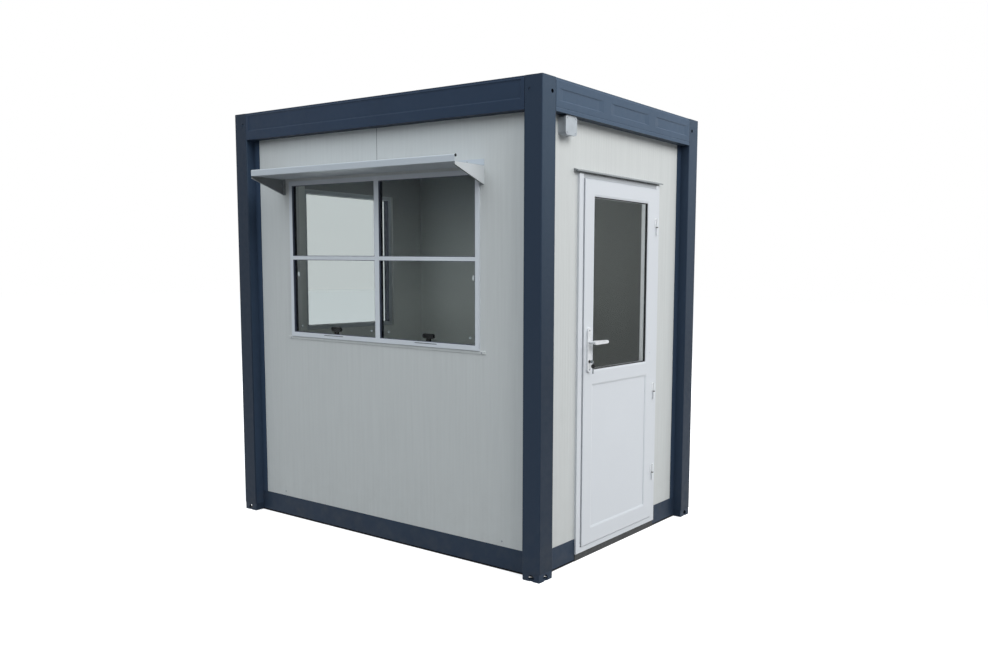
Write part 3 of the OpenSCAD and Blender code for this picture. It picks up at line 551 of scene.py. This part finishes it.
class Shape:
    """Points and faces of one joined mesh."""

    def __init__(self):
        self.points = []
        self.faces = []

    def add(self, points, faces):
        """Adds points, and faces that count from the first of them."""
        start = len(self.points)
        self.points += [Vector(point) for point in points]
        self.faces += [[start + index for index in face] for face in faces]

    def loft(self, rings):
        """A closed body through rings of as many points each, capped at both ends."""
        count = len(rings[0])
        faces = [list(range(count)), [(len(rings) - 1) * count + i for i in range(count)]]
        for row in range(len(rings) - 1):
            near, far = row * count, (row + 1) * count
            for i in range(count):
                j = (i + 1) % count
                faces.append([near + i, near + j, far + j, far + i])
        self.add([point for ring in rings for point in ring], faces)

    def block(self, side, s, out, z):
        """A block on a side, each size a pair of limits."""
        self.loft([side.rectangle(s, depth, z) for depth in out])

    def frame_ring(self, side, s, z, width, out):
        """A flat rectangular ring on a side: the outer limits, the face width and the depth limits."""
        corners = []
        for grow in (0, width):
            for depth in out:
                corners += side.rectangle((s[0] + grow, s[1] - grow), depth, (z[0] + grow, z[1] - grow))
        faces = []
        for i in range(4):
            j = (i + 1) % 4
            for near, far in ((0, 4), (4, 12), (12, 8), (8, 0)):
                faces.append([near + i, near + j, far + j, far + i])
        self.add(corners, faces)

    def lathe(self, centre, axis, profile, sides=16):
        """A body turned round an axis from pairs of radius and height."""
        turn = Vector(axis).to_track_quat("Z", "Y").to_matrix()
        rings = []
        for radius, height in profile:
            circle = [(*on_circle(radius, i, sides), height) for i in range(sides)]
            rings.append([Vector(centre) + turn @ Vector(point) for point in circle])
        self.loft(rings)

    def torus(self, centre, axis, radius, thick, turns=32, sides=10):
        """A round wire bent into a ring about an axis."""
        turn = Vector(axis).to_track_quat("Z", "Y").to_matrix()
        points = []
        for i in range(turns):
            for j in range(sides):
                reach, height = on_circle(thick, j, sides)
                point = (*on_circle(radius + reach, i, turns), height)
                points.append(Vector(centre) + turn @ Vector(point))
        faces = []
        for i in range(turns):
            for j in range(sides):
                k, m = (i + 1) % turns, (j + 1) % sides
                faces.append([i * sides + j, k * sides + j, k * sides + m, i * sides + m])
        self.add(points, faces)

    def pan_screw(self, centre, axis, radius):
        """A pan head with a shallow recess in its crown."""
        head = [(1.0, -0.2), (1.0, 0.25), (0.8, 0.55), (0.45, 0.65), (0.4, 0.35)]
        self.lathe(centre, axis, scaled(head, radius))

    def hex_screw(self, centre, axis, radius):
        """A sheet-metal screw: a washer and a hexagon head."""
        washer = [(1.5, -0.3), (1.5, 0.15), (1.3, 0.3)]
        head = [(1.0, 0.25), (1.0, 0.85), (0.85, 1.0)]
        self.lathe(centre, axis, scaled(washer, radius))
        self.lathe(centre, axis, scaled(head, radius), sides=6)


def make_piece(name, shape, material, body, soft_edge=0.0):
    """Makes a joined mesh into a piece that rides on a body."""
    mesh = bpy.data.meshes.new(name)
    work = bmesh.new()
    points = [work.verts.new(point) for point in shape.points]
    for face in shape.faces:
        work.faces.new([points[index] for index in face])
    bmesh.ops.recalc_face_normals(work, faces=work.faces)
    work.to_mesh(mesh)
    work.free()
    piece = bpy.data.objects.new(name, mesh)
    bpy.context.scene.collection.objects.link(piece)
    mesh.materials.append(material)
    if soft_edge:
        bevel = piece.modifiers.new("soft_edges", "BEVEL")
        bevel.width = soft_edge
        bevel.segments = 2
        bevel.limit_method = "ANGLE"
    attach(piece, body)
    return piece


def solid_boxes(node):
    """The lowest and highest corners of each separate solid of a node, in order along X, Y and Z."""
    same_point = 0.01 * MM
    work = bmesh.new()
    work.from_mesh(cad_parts[node].data)
    bmesh.ops.remove_doubles(work, verts=work.verts, dist=same_point)
    boxes = []
    seen = set()
    for first in work.verts:
        if first in seen:
            continue
        seen.add(first)
        waiting = [first]
        corners = []
        while waiting:
            point = waiting.pop()
            corners.append(point.co.copy())
            for edge in point.link_edges:
                other = edge.other_vert(point)
                if other not in seen:
                    seen.add(other)
                    waiting.append(other)
        low = Vector([min(corner[axis] for corner in corners) for axis in range(3)])
        high = Vector([max(corner[axis] for corner in corners) for axis in range(3)])
        boxes.append((low, high))
    work.free()
    return sorted(boxes, key=lambda box: tuple(round(value, 4) for value in box[0]))


# Wall sheets

RIB_PITCH = 24 * MM
RIB_FOOT = 9 * MM
RIB_TOP = 4 * MM
RIB_H = 0.3 * MM
RIB_SUNK = 0.5 * MM


def add_rib(shape, side, s, low, high):
    """One upright rib with sloped flanks, its foot sunk in the sheet."""
    outline = [(-RIB_FOOT / 2, -RIB_SUNK), (RIB_FOOT / 2, -RIB_SUNK), (RIB_FOOT / 2, 0),
               (RIB_TOP / 2, RIB_H), (-RIB_TOP / 2, RIB_H), (-RIB_FOOT / 2, 0)]
    shape.loft([[side.at(s + along, out, z) for along, out in outline] for z in (low, high)])


def wall_ribs(name, side, spans, hole=None):
    """The sheet's fine upright ribs on one side, left out over a hole given as limits along and up."""
    shape = Shape()
    for left, right in spans:
        count = int((right - left) / RIB_PITCH)
        first = (left + right) / 2 - (count - 1) * RIB_PITCH / 2
        for i in range(count):
            s = first + i * RIB_PITCH
            runs = [(WALL_LOW, WALL_TOP)]
            if hole and hole[0] - RIB_FOOT / 2 < s < hole[1] + RIB_FOOT / 2:
                runs = [(WALL_LOW, hole[2]), (hole[3], WALL_TOP)]
            for low, high in runs:
                if high - low > RIB_PITCH:
                    add_rib(shape, side, s, low, high)
    make_piece(name, shape, WALL_PANEL, "booth")


def build_wall_ribs():
    """Ribs on the four walls, clear of the posts' flanges, the panel joints and the openings."""
    flange = 36 * MM
    gap = 10 * MM
    seam = 3 * MM
    long_end = HALF_W - POST_W - flange - gap
    short_end = HALF_D - POST_W - flange - gap
    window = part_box("window_frame")
    end_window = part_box("end_window_frame")
    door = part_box("door_jambs")
    halves = [(-long_end, -seam), (seam, long_end)]
    wall_ribs("front_wall_ribs", FRONT, halves, (window[0].x, window[1].x, window[0].z, window[1].z))
    wall_ribs("back_wall_ribs", BACK, halves)
    wall_ribs("far_end_ribs", FAR_END, [(-short_end, short_end)],
              (-end_window[1].y, -end_window[0].y, end_window[0].z, end_window[1].z))
    wall_ribs("door_end_ribs", DOOR_END, [(-short_end, short_end)],
              (door[0].y, door[1].y, WALL_LOW, door[1].z))


def build_wall_seams():
    """Strips in the joint between the two panels of each long wall, and dark sealant over the awning."""
    strips = Shape()
    sealant = Shape()
    half_seam = 1.3 * MM
    sunk = 3 * MM
    seam = (-half_seam, half_seam)
    depth = (-sunk, RIB_H)
    strips.block(FRONT, seam, depth, (WALL_LOW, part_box("window_sill")[0].z))
    strips.block(BACK, seam, depth, (WALL_LOW, WALL_TOP))
    sealant.block(FRONT, seam, depth, (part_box("awning_sheet")[1].z, WALL_TOP))
    make_piece("wall_seam_strips", strips, WALL_PANEL, "booth")
    make_piece("wall_seam_sealant", sealant, DARK_SEALANT, "booth")


# Steel frame

def post_edges(sides):
    """The posts' inner edges on some sides, each as its side, its s and the way to the post."""
    return [(side, sign * (side.half - POST_W), sign) for side in sides for sign in (-1, 1)]


def build_frame_seams():
    """Thin sealant beads where the floor beams meet the posts, and at the back of each end roof beam."""
    shape = Shape()
    half_bead = 1.2 * MM
    floor_proud = 0.6 * MM
    roof_proud = 0.3 * MM
    roof_sunk = 2 * MM
    below_top = 9 * MM
    low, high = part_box("floor_beam_front")
    beam_out = WALL_FRONT - low.y
    for side, s, _ in post_edges(LONG_SIDES + END_SIDES):
        shape.block(side, (s - half_bead, s + half_bead), (beam_out - MM, beam_out + floor_proud),
                    (low.z, high.z))
    for side, way_back in ((DOOR_END, 1), (FAR_END, -1)):
        s = way_back * (side.half - POST_W)
        shape.block(side, (s - half_bead, s + half_bead), (RECESS - roof_sunk, RECESS + roof_proud),
                    (WALL_TOP, ROOF_TOP - below_top))
    make_piece("frame_seams", shape, DARK_SEALANT, "booth")


def build_post_fittings():
    """Plates that carry the posts' returns down to the feet, and plugs in the long sides' lifting holes."""
    plates = Shape()
    plugs = Shape()
    steel_t = 3 * MM
    off_ground = 2 * MM
    hole_in = 31 * MM
    hole_z = ROOF_TOP - 70 * MM
    plug = scaled([(12, 0), (12, 2), (10, 3)], MM)
    foot_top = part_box("corner_feet")[1].z
    for side, s, sign in post_edges(LONG_SIDES + END_SIDES):
        plates.block(side, sorted((s, s + sign * steel_t)), (steel_t, RECESS - steel_t),
                     (off_ground, foot_top))
    for side, s, sign in post_edges(LONG_SIDES):
        plugs.lathe(side.at(s + sign * hole_in, RECESS - steel_t, hole_z), -side.out, plug, sides=24)
    make_piece("foot_plates", plates, NAVY_STEEL, "booth")
    make_piece("lifting_hole_plugs", plugs, NAVY_STEEL, "booth")


# Windows

GLASS_BITE = 6 * MM


def line_opening(shape, side, s, z, glass, face):
    """Seals round a pane: deep at the sides and top up to the frame's face, shallow at the bottom."""
    wide = 3 * MM
    sunk = MM
    bottom_t = 9 * MM
    deep = (glass, face - MM)
    shallow = (glass, glass + bottom_t)
    shape.block(side, (s[0] - sunk, s[0] + wide), deep, (z[0] - sunk, z[1] + sunk))
    shape.block(side, (s[1] - wide, s[1] + sunk), deep, (z[0] - sunk, z[1] + sunk))
    shape.block(side, (s[0] + wide, s[1] - wide), deep, (z[1] - wide, z[1] + sunk))
    shape.block(side, (s[0] + wide, s[1] - wide), shallow, (z[0] - sunk, z[0] + wide))


def build_window_seals():
    """Rubber seals that line the frames round each pane."""
    shape = Shape()
    face = WALL_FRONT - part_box("window_frame")[0].y
    for low, high in solid_boxes("window_panes"):
        line_opening(shape, FRONT, (low.x + GLASS_BITE, high.x - GLASS_BITE),
                     (low.z + GLASS_BITE, high.z - GLASS_BITE), WALL_FRONT - low.y, face)
    low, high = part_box("end_window_pane")
    wide = 4 * MM
    proud = 3.5 * MM
    front = -WALL_END - low.x
    back = -WALL_END - high.x
    room_face = -WALL_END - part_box("end_window_frame")[1].x + MM
    s = (-high.y + GLASS_BITE - MM, -low.y - GLASS_BITE + MM)
    z = (low.z + GLASS_BITE - MM, high.z - GLASS_BITE + MM)
    shape.frame_ring(FAR_END, s, z, wide, (front, front + proud))
    for edge in ((s[0], s[0] + wide), (s[1] - wide, s[1])):
        shape.block(FAR_END, edge, (room_face, back), z)
    make_piece("window_seals", shape, GASKET_RUBBER, "booth", soft_edge=0.6 * MM)


def build_window_fittings():
    """Clips and buffers on the backs of the lower panes, and the drain covers."""
    clips = Shape()
    buffers = Shape()
    drains = Shape()
    clip_s = 0.703
    clip_z = 1.523
    clip_half_w = 7 * MM
    clip_half_h = 13 * MM
    clip_t = 9 * MM
    buffer_z = 1.209
    buffer = scaled([(6, 0), (6, 3), (4, 5)], MM)
    buffer_from_left = 55 * MM
    buffer_from_right = 50 * MM
    drain_z = 1.163
    drain_half_w = 82 * MM
    drain_half_h = 1.6 * MM
    drain_t = 1.2 * MM
    below_clip = 0.2
    off_glass = 0.3 * MM
    lower = [box for box in solid_boxes("window_panes") if box[0].z < clip_z - below_clip]
    frame_out = WALL_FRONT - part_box("window_frame")[0].y
    for low, high in lower:
        back = WALL_FRONT - high.y - off_glass
        s = -clip_s if low.x < 0 else clip_s
        clips.block(FRONT, (s - clip_half_w, s + clip_half_w), (back - clip_t, back),
                    (clip_z - clip_half_h, clip_z + clip_half_h))
        for s in (low.x + GLASS_BITE + buffer_from_left, high.x - GLASS_BITE - buffer_from_right):
            buffers.lathe(FRONT.at(s, back, buffer_z), -FRONT.out, buffer)
        middle = (low.x + high.x) / 2
        drains.block(FRONT, (middle - drain_half_w, middle + drain_half_w),
                     (frame_out - MM, frame_out + drain_t),
                     (drain_z - drain_half_h, drain_z + drain_half_h))
    make_piece("window_clips", clips, HANDLE_PLASTIC, "booth", soft_edge=1.5 * MM)
    make_piece("pane_buffers", buffers, BOX_PLASTIC, "booth")
    make_piece("drain_covers", drains, DARK_SEALANT, "booth", soft_edge=0.4 * MM)


SILL_PROUD = 4 * MM


def build_sill():
    """The folded sheet under the front window, slimmer than the solid that stands for it."""
    low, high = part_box("window_sill")
    cut_back = 7 * MM
    slope = 2 * MM
    bottom = low.z + cut_back
    outline = [(-MM, bottom), (SILL_PROUD, bottom), (SILL_PROUD, high.z - slope),
               (SILL_PROUD - slope, high.z), (-MM, high.z)]
    shape = Shape()
    shape.loft([[FRONT.at(x, out, z) for out, z in outline] for x in (low.x, high.x)])
    sill = make_piece("sill_sheet", shape, WALL_PANEL, "booth", soft_edge=0.8 * MM)
    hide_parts("window_sill")


def build_hem_plugs():
    """Black plugs in the ends of the awning's rolled hem."""
    shape = Shape()
    low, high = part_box("awning_sheet")
    hem_r = 6 * MM
    plug = scaled([(4, -8), (4, 0), (7.5, 0), (7.5, 2), (5, 3)], MM)
    for x, way in ((low.x, -1), (high.x, 1)):
        shape.lathe((x, low.y + hem_r, high.z - hem_r), (way, 0, 0), plug, sides=24)
    make_piece("hem_plugs", shape, BLACK_RUBBER, "booth")


# Small fixings

WALL_SCREW_R = 4.5 * MM
LID_SCREW_R = 3.6 * MM
AWNING_SCREW_R = 4 * MM
ROOF_SCREW_R = 5 * MM
PLATE_SCREW_R = 4 * MM
HINGE_SCREW_R = 3 * MM
SHEET_T = 3 * MM


def build_screws():
    """Pan heads on the front wall, sill, brackets and box lid, and hexagon heads along the awning."""
    shape = Shape()
    wall_screws_s = (-0.860, 0.907)
    wall_screws_z = 0.152
    for s in wall_screws_s:
        shape.pan_screw(FRONT.at(s, RIB_H, wall_screws_z), FRONT.out, WALL_SCREW_R)
    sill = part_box("window_sill")
    sill_end = 26 * MM
    above_middle = 2 * MM
    sill_z = (sill[0].z + sill[1].z) / 2 + above_middle
    for s in (sill[0].x + sill_end, sill[1].x - sill_end):
        shape.pan_screw(FRONT.at(s, SILL_PROUD, sill_z), FRONT.out, WALL_SCREW_R)
    tab_edge = 13 * MM
    tab_drops = (22 * MM, 62 * MM)
    for low, high in solid_boxes("awning_brackets"):
        s = low.x + tab_edge if low.x < 0 else high.x - tab_edge
        for drop in tab_drops:
            shape.pan_screw(FRONT.at(s, SHEET_T, high.z - drop), FRONT.out, WALL_SCREW_R)
    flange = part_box("awning_sheet")
    flange_drop = 16 * MM
    count = 7
    for i in range(count):
        s = flange[0].x + (flange[1].x - flange[0].x) * (i + 0.5) / count
        shape.hex_screw(FRONT.at(s, SHEET_T, flange[1].z - flange_drop), FRONT.out, AWNING_SCREW_R)
    make_piece("fixing_screws", shape, SCREW_STEEL, "booth")
    lid_screws = Shape()
    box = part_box("junction_box")
    lid_edge = 13 * MM
    for y in (box[0].y + lid_edge, box[1].y - lid_edge):
        for z in (box[0].z + lid_edge, box[1].z - lid_edge):
            lid_screws.pan_screw(Vector((box[1].x, y, z)), DOOR_END.out, LID_SCREW_R)
    make_piece("lid_screws", lid_screws, BOX_PLASTIC, "booth")


def build_roof():
    """Washer-headed screws along the roof sheet's ribs and a flashing from its edge up to the beams."""
    low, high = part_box("roof_sheet")
    screws = Shape()
    flashing = Shape()
    rib_pitch = 0.25
    rib_count = 8
    by_edge = 0.07
    further_in = 0.4
    for i in range(rib_count):
        x = (i - (rib_count - 1) / 2) * rib_pitch
        for y in (low.y + by_edge, low.y + further_in, 0.0, high.y - further_in, high.y - by_edge):
            screws.hex_screw((x, y, high.z), UP, ROOF_SCREW_R)
    make_piece("roof_screws", screws, SCREW_STEEL, "booth")
    below_top = 0.5 * MM
    thick = 1.5 * MM
    corner_gap = 61 * MM
    height = (low.z + MM, ROOF_TOP - below_top)
    for sides, reach in ((LONG_SIDES, high.x - corner_gap), (END_SIDES, high.y - corner_gap)):
        for side in sides:
            flashing.block(side, (-reach, reach), (-thick, 0), height)
    make_piece("roof_flashing", flashing, ROOF_SHEET, "booth")


# Room

def build_room_trims():
    """Folded corner strips inside the room."""
    shape = Shape()
    width = 22 * MM
    thick = 1.5 * MM
    outline = [(0, 0), (width, 0), (width, thick), (thick, thick), (thick, width), (0, width)]
    for x, toward_x in ((ROOM_LOW.x, 1), (ROOM_HIGH.x, -1)):
        for y, toward_y in ((ROOM_LOW.y, 1), (ROOM_HIGH.y, -1)):
            rings = [[Vector((x + toward_x * a, y + toward_y * b, z)) for a, b in outline]
                     for z in (ROOM_LOW.z, ROOM_HIGH.z)]
            shape.loft(rings)
    make_piece("room_corner_trims", shape, WALL_PANEL, "booth")


# Door

def build_door_seals():
    """Seals in the frame that the closed leaf rests on, and the seal over its top edge."""
    stop = Shape()
    jambs = solid_boxes("door_jambs")
    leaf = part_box("door_leaf")
    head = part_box("door_head")
    strip_w = 11 * MM
    seal_t = 4 * MM
    past_leaf = 4 * MM
    behind_leaf = 7 * MM
    rebate = 18 * MM
    from_rebate = 17 * MM
    above_head = 2 * MM
    left = jambs[0][1].y - rebate
    right = jambs[1][0].y + rebate
    stop_out = leaf[0].x - behind_leaf - WALL_END
    out = (stop_out, stop_out + seal_t)
    for s in ((left - from_rebate, left - from_rebate + strip_w),
              (right + from_rebate - strip_w, right + from_rebate)):
        stop.block(DOOR_END, s, out, (leaf[0].z - past_leaf, leaf[1].z + past_leaf))
    stop.block(DOOR_END, (left, right), out, (head[0].z + above_head, head[0].z + above_head + strip_w))
    make_piece("door_stop_seals", stop, BLACK_RUBBER, "booth", soft_edge=1.2 * MM)
    head_seal = Shape()
    head_out = head[1].x - WALL_END
    seal_back = 12 * MM
    seal_front = 2 * MM
    seal_low = 1.5 * MM
    seal_high = 6 * MM
    head_seal.block(DOOR_END, (left, right), (head_out - seal_back, head_out - seal_front),
                    (leaf[1].z + seal_low, leaf[1].z + seal_high))
    make_piece("door_head_seal", head_seal, DOOR_PVC, "booth", soft_edge=MM)


def build_door_glazing():
    """Seals on both faces of the door's pane and the bead behind it."""
    low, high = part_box("door_glass")
    face = high.x - WALL_END
    back = low.x - WALL_END
    s = (low.y + GLASS_BITE - MM, high.y - GLASS_BITE + MM)
    z = (low.z + GLASS_BITE - MM, high.z - GLASS_BITE + MM)
    outer_w = 7 * MM
    outer_t = 6 * MM
    inner_w = 4 * MM
    inner_t = 3 * MM
    bead_in = 3 * MM
    seals = Shape()
    seals.frame_ring(DOOR_END, s, z, outer_w, (face, face + outer_t))
    seals.frame_ring(DOOR_END, s, z, inner_w, (back - inner_t, back))
    make_piece("door_glass_seals", seals, BLACK_RUBBER, "door", soft_edge=1.0 * MM)
    bead = Shape()
    bead_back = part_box("door_leaf")[0].x - WALL_END + bead_in
    bead.frame_ring(DOOR_END, s, z, inner_w, (bead_back, back - inner_t))
    make_piece("door_glass_bead", bead, PAINTED_LIGHT_PVC, "door", soft_edge=0.6 * MM)


def build_door_step_shade():
    """A dark strip on the floor beam under the threshold: painted shade."""
    shape = Shape()
    low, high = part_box("door_jambs")
    beam_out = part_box("floor_beam_door_end")[1].x - WALL_END
    strip_t = 3 * MM
    off_ground = 2 * MM
    shape.block(DOOR_END, (low.y, high.y), (beam_out - MM, beam_out + strip_t), (off_ground, low.z - MM))
    make_piece("door_step_shade_strip", shape, STEP_SHADE_MATERIAL, "booth", soft_edge=MM)


def build_plate_screws():
    """Screws at the ends of the lever's back plates, inside and out."""
    shape = Shape()
    from_end = 15 * MM
    for low, high in solid_boxes("handle_plates"):
        middle = (low.y + high.y) / 2
        outside = high.x > WALL_END
        face = high.x if outside else low.x
        axis = DOOR_END.out if outside else -DOOR_END.out
        for z in (low.z + from_end, high.z - from_end):
            shape.pan_screw((face, middle, z), axis, PLATE_SCREW_R)
    make_piece("plate_screws", shape, SCREW_STEEL, "door")


def build_hinge_fixings():
    """Screws of the hinges' plates, a plug in the leaf and the hinges' dark bushes."""
    leaf_screws = Shape()
    jamb_screws = Shape()
    bushes = Shape()
    plate_t = 2 * MM
    from_end = 12 * MM
    from_edge = 7 * MM
    barrel_r = 6 * MM
    plug_y = 0.329
    plug_z = 1.086
    plug = scaled([(6, -1), (6, 0.8), (4, 1.2)], MM)
    bush = scaled([(6.3, 0), (6.7, 1), (6.7, 4), (6.3, 5)], MM)
    bush_drop = 6 * MM
    leaf_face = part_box("door_leaf")[1].x
    jamb_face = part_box("door_jambs")[1].x
    for low, high in solid_boxes("hinge_door_halves"):
        for z in (low.z + from_end, high.z - from_end):
            leaf_screws.pan_screw((leaf_face + plate_t, low.y + from_edge, z), DOOR_END.out, HINGE_SCREW_R)
    leaf_screws.lathe((leaf_face, plug_y, plug_z), DOOR_END.out, plug)
    make_piece("leaf_screws", leaf_screws, DOOR_PVC, "door")
    joint_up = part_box("hinge_door_halves")[0].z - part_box("hinge_frame_halves")[0].z
    for low, high in solid_boxes("hinge_frame_halves"):
        for z in (low.z + from_end, low.z + joint_up - from_end):
            jamb_screws.pan_screw((jamb_face + plate_t, high.y - from_edge, z), DOOR_END.out, HINGE_SCREW_R)
        bush_at = (high.x - barrel_r, low.y + barrel_r, low.z + joint_up - bush_drop)
        bushes.lathe(bush_at, UP, bush, sides=24)
    make_piece("jamb_screws", jamb_screws, DOOR_PVC, "booth")
    make_piece("hinge_bushes", bushes, BLACK_RUBBER, "booth")


def build_key():
    """A key in the lock with a ring and a second key hanging from it."""
    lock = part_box("lock_cylinder")
    centre_y = (lock[0].y + lock[1].y) / 2
    centre_z = (lock[0].z + lock[1].z) / 2
    face = lock[1].x
    blade_half_t = 1.3 * MM
    blade_half_w = 4 * MM
    blade_in = 5 * MM
    head_r = 9 * MM
    head_t = 5.2 * MM
    head_gap = 4 * MM
    head_x = face + head_gap + head_r
    ring_r = 8 * MM
    wire_r = 1.0 * MM
    ring_past_head = 8 * MM
    ring_above = 2 * MM
    ring_at = Vector((head_x + ring_past_head, centre_y, centre_z - ring_r + ring_above))
    ring_axis = (1, 0.25, 0)
    hang_at = ring_at + Vector((0, 0, -ring_r))
    hung_blade = (-50 * MM, -16 * MM)
    cap_r = 12 * MM
    cap_drop = 10 * MM
    across_y = Vector((0, 1, 0))
    corners = ((-1, -1), (1, -1), (1, 1), (-1, 1))
    metal = Shape()
    metal.loft([[Vector((x, centre_y + a * blade_half_t, centre_z + b * blade_half_w)) for a, b in corners]
                for x in (face - blade_in, head_x)])
    metal.torus(ring_at, ring_axis, ring_r, wire_r)
    metal.lathe((head_x, centre_y - head_t / 2, centre_z), across_y, round_disc(head_r, head_t), sides=24)
    metal.loft([[hang_at + Vector((a * blade_half_w, b * blade_half_t, z)) for a, b in corners]
                for z in hung_blade])
    make_piece("key_metal", metal, SCREW_STEEL, "door", soft_edge=0.3 * MM)
    cap = Shape()
    cap_at = hang_at + Vector((0, -head_t / 2, -cap_drop))
    cap.lathe(cap_at, across_y, round_disc(cap_r, head_t), sides=24)
    make_piece("key_cap", cap, BLACK_RUBBER, "door")


# Stage, light and camera

HORIZON_LIGHT = 0.14
ZENITH_LIGHT = 0.62
SKY_TINT = (0.90, 0.96, 1.0, 1.0)
FLOOR_HALF = 40.0
FLOOR_GLOW = 0.67
FLOOR_SEEN = grey(0.8)
FLOOR_BOUNCE = grey(0.15)
# Painted shadow: the floor's colour under the booth.
FLOOR_PAINTED_SHADOW = grey(0.03)
WHITE = grey(1.0)


def seen_directly(tree):
    """1 for rays from the camera, and for those that gloss or glass send on, 0 for scattered light."""
    path = tree.nodes.new("ShaderNodeLightPath")
    either = math_node(tree, "MAXIMUM", path.outputs["Is Camera Ray"], path.outputs["Is Glossy Ray"])
    return math_node(tree, "MAXIMUM", either, path.outputs["Is Transmission Ray"])


def clear_of_booth(tree):
    """0 where the floor is painted dark as shadow under the floor beams, 1 beside the booth."""
    place = place_axes(tree)
    dark_to = -6 * MM
    clear_from = 4 * MM
    along = math_node(tree, "ABSOLUTE", place["X"])
    across = math_node(tree, "ABSOLUTE", place["Y"])
    beyond_end = math_node(tree, "SUBTRACT", along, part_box("floor_beam_door_end")[1].x)
    beyond_front = math_node(tree, "SUBTRACT", across, -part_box("floor_beam_front")[0].y)
    return ramp(tree, math_node(tree, "MAXIMUM", beyond_end, beyond_front), dark_to, clear_from)


def floor_material():
    """A pale floor that is white to the camera, keeps a soft shadow and has painted shadow under the booth.
    """
    material = bpy.data.materials.new("studio_floor")
    material.use_nodes = True
    tree = material.node_tree
    tree.nodes.clear()
    seen = seen_directly(tree)
    open_floor = clear_of_booth(tree)
    pale = tree.nodes.new("ShaderNodeBsdfDiffuse")
    colour = mix(tree, seen, FLOOR_BOUNCE, FLOOR_SEEN)
    link(tree, mix(tree, open_floor, FLOOR_PAINTED_SHADOW, colour), pale.inputs["Color"])
    glow = tree.nodes.new("ShaderNodeEmission")
    glow.inputs["Color"].default_value = WHITE
    bright = math_node(tree, "MULTIPLY", seen, FLOOR_GLOW)
    link(tree, math_node(tree, "MULTIPLY", bright, open_floor), glow.inputs["Strength"])
    both = tree.nodes.new("ShaderNodeAddShader")
    link(tree, pale.outputs[0], both.inputs[0])
    link(tree, glow.outputs[0], both.inputs[1])
    link(tree, both.outputs[0], tree.nodes.new("ShaderNodeOutputMaterial").inputs["Surface"])
    return material


def build_stage():
    """The studio floor."""
    half = FLOOR_HALF
    corners = [(-half, -half, 0), (half, -half, 0), (half, half, 0), (-half, half, 0)]
    mesh = bpy.data.meshes.new("studio_floor")
    mesh.from_pydata(corners, [], [(0, 1, 2, 3)])
    mesh.materials.append(floor_material())
    floor = bpy.data.objects.new("studio_floor", mesh)
    bpy.context.scene.collection.objects.link(floor)


def build_world():
    """White surroundings to the camera, and a soft sky for light, brighter overhead."""
    world = bpy.data.worlds.new("studio")
    world.use_nodes = True
    bpy.context.scene.world = world
    tree = world.node_tree
    background = tree.nodes["Background"]
    seen = seen_directly(tree)
    link(tree, mix(tree, seen, SKY_TINT, WHITE), background.inputs["Color"])
    way = split_axes(tree, tree.nodes.new("ShaderNodeTexCoord").outputs["Generated"])
    sky = ramp(tree, way["Z"], 0.0, 1.0, HORIZON_LIGHT, ZENITH_LIGHT)
    link(tree, math_node(tree, "MAXIMUM", seen, sky), background.inputs["Strength"])


def add_lamp(name, place, size, watts, colour=(1, 1, 1)):
    """A soft square lamp that faces the booth's middle and isn't mirrored or seen."""
    middle = Vector((0, 0, 1.2))
    data = bpy.data.lights.new(name, "AREA")
    data.size = size
    data.energy = watts
    data.color = colour
    lamp = bpy.data.objects.new(name, data)
    bpy.context.scene.collection.objects.link(lamp)
    lamp.location = place
    lamp.rotation_mode = "QUATERNION"
    lamp.rotation_quaternion = (middle - Vector(place)).to_track_quat("-Z", "Y")
    lamp.visible_camera = False
    lamp.visible_transmission = False
    lamp.visible_glossy = False


def build_light():
    """Four soft lamps: on the door end, the back corner beside it, the front and the far back."""
    add_lamp("key_lamp", place=(8.0, -2.0, 6.8), size=5.0, watts=505)
    add_lamp("side_lamp", place=(6.3, 6.3, 6.5), size=5.0, watts=335)
    add_lamp("front_lamp", place=(-0.3, -7.5, 7.0), size=7.0, watts=320, colour=(0.87, 0.94, 1.0))
    add_lamp("back_lamp", place=(-5.0, 7.0, 5.0), size=6.0, watts=300)


def build_camera():
    """The photograph's camera."""
    data = bpy.data.cameras.new("photo_camera")
    data.sensor_width = SENSOR_MM
    data.lens = SENSOR_MM * FOCAL_PX / PHOTO_W
    data.shift_x = (PHOTO_W / 2 - CENTRE_PX[0]) / PHOTO_W
    data.shift_y = (CENTRE_PX[1] - PHOTO_H / 2) / PHOTO_W
    camera = bpy.data.objects.new("photo_camera", data)
    bpy.context.scene.collection.objects.link(camera)
    turn = (Matrix.Rotation(math.radians(CAMERA_HEADING), 4, "Z")
            @ Matrix.Rotation(math.radians(90 + CAMERA_PITCH), 4, "X")
            @ Matrix.Rotation(math.radians(CAMERA_ROLL), 4, "Z"))
    camera.matrix_world = Matrix.Translation(CAMERA_AT) @ turn
    bpy.context.scene.camera = camera


dress_nodes()
build_wall_ribs()
build_wall_seams()
build_frame_seams()
build_post_fittings()
build_window_seals()
build_window_fittings()
build_sill()
build_hem_plugs()
build_screws()
build_roof()
build_room_trims()
build_door_seals()
build_door_glazing()
build_door_step_shade()
build_plate_screws()
build_hinge_fixings()
build_key()
build_stage()
build_world()
build_light()
build_camera()
bpy.context.scene.view_settings.view_transform = "Standard"
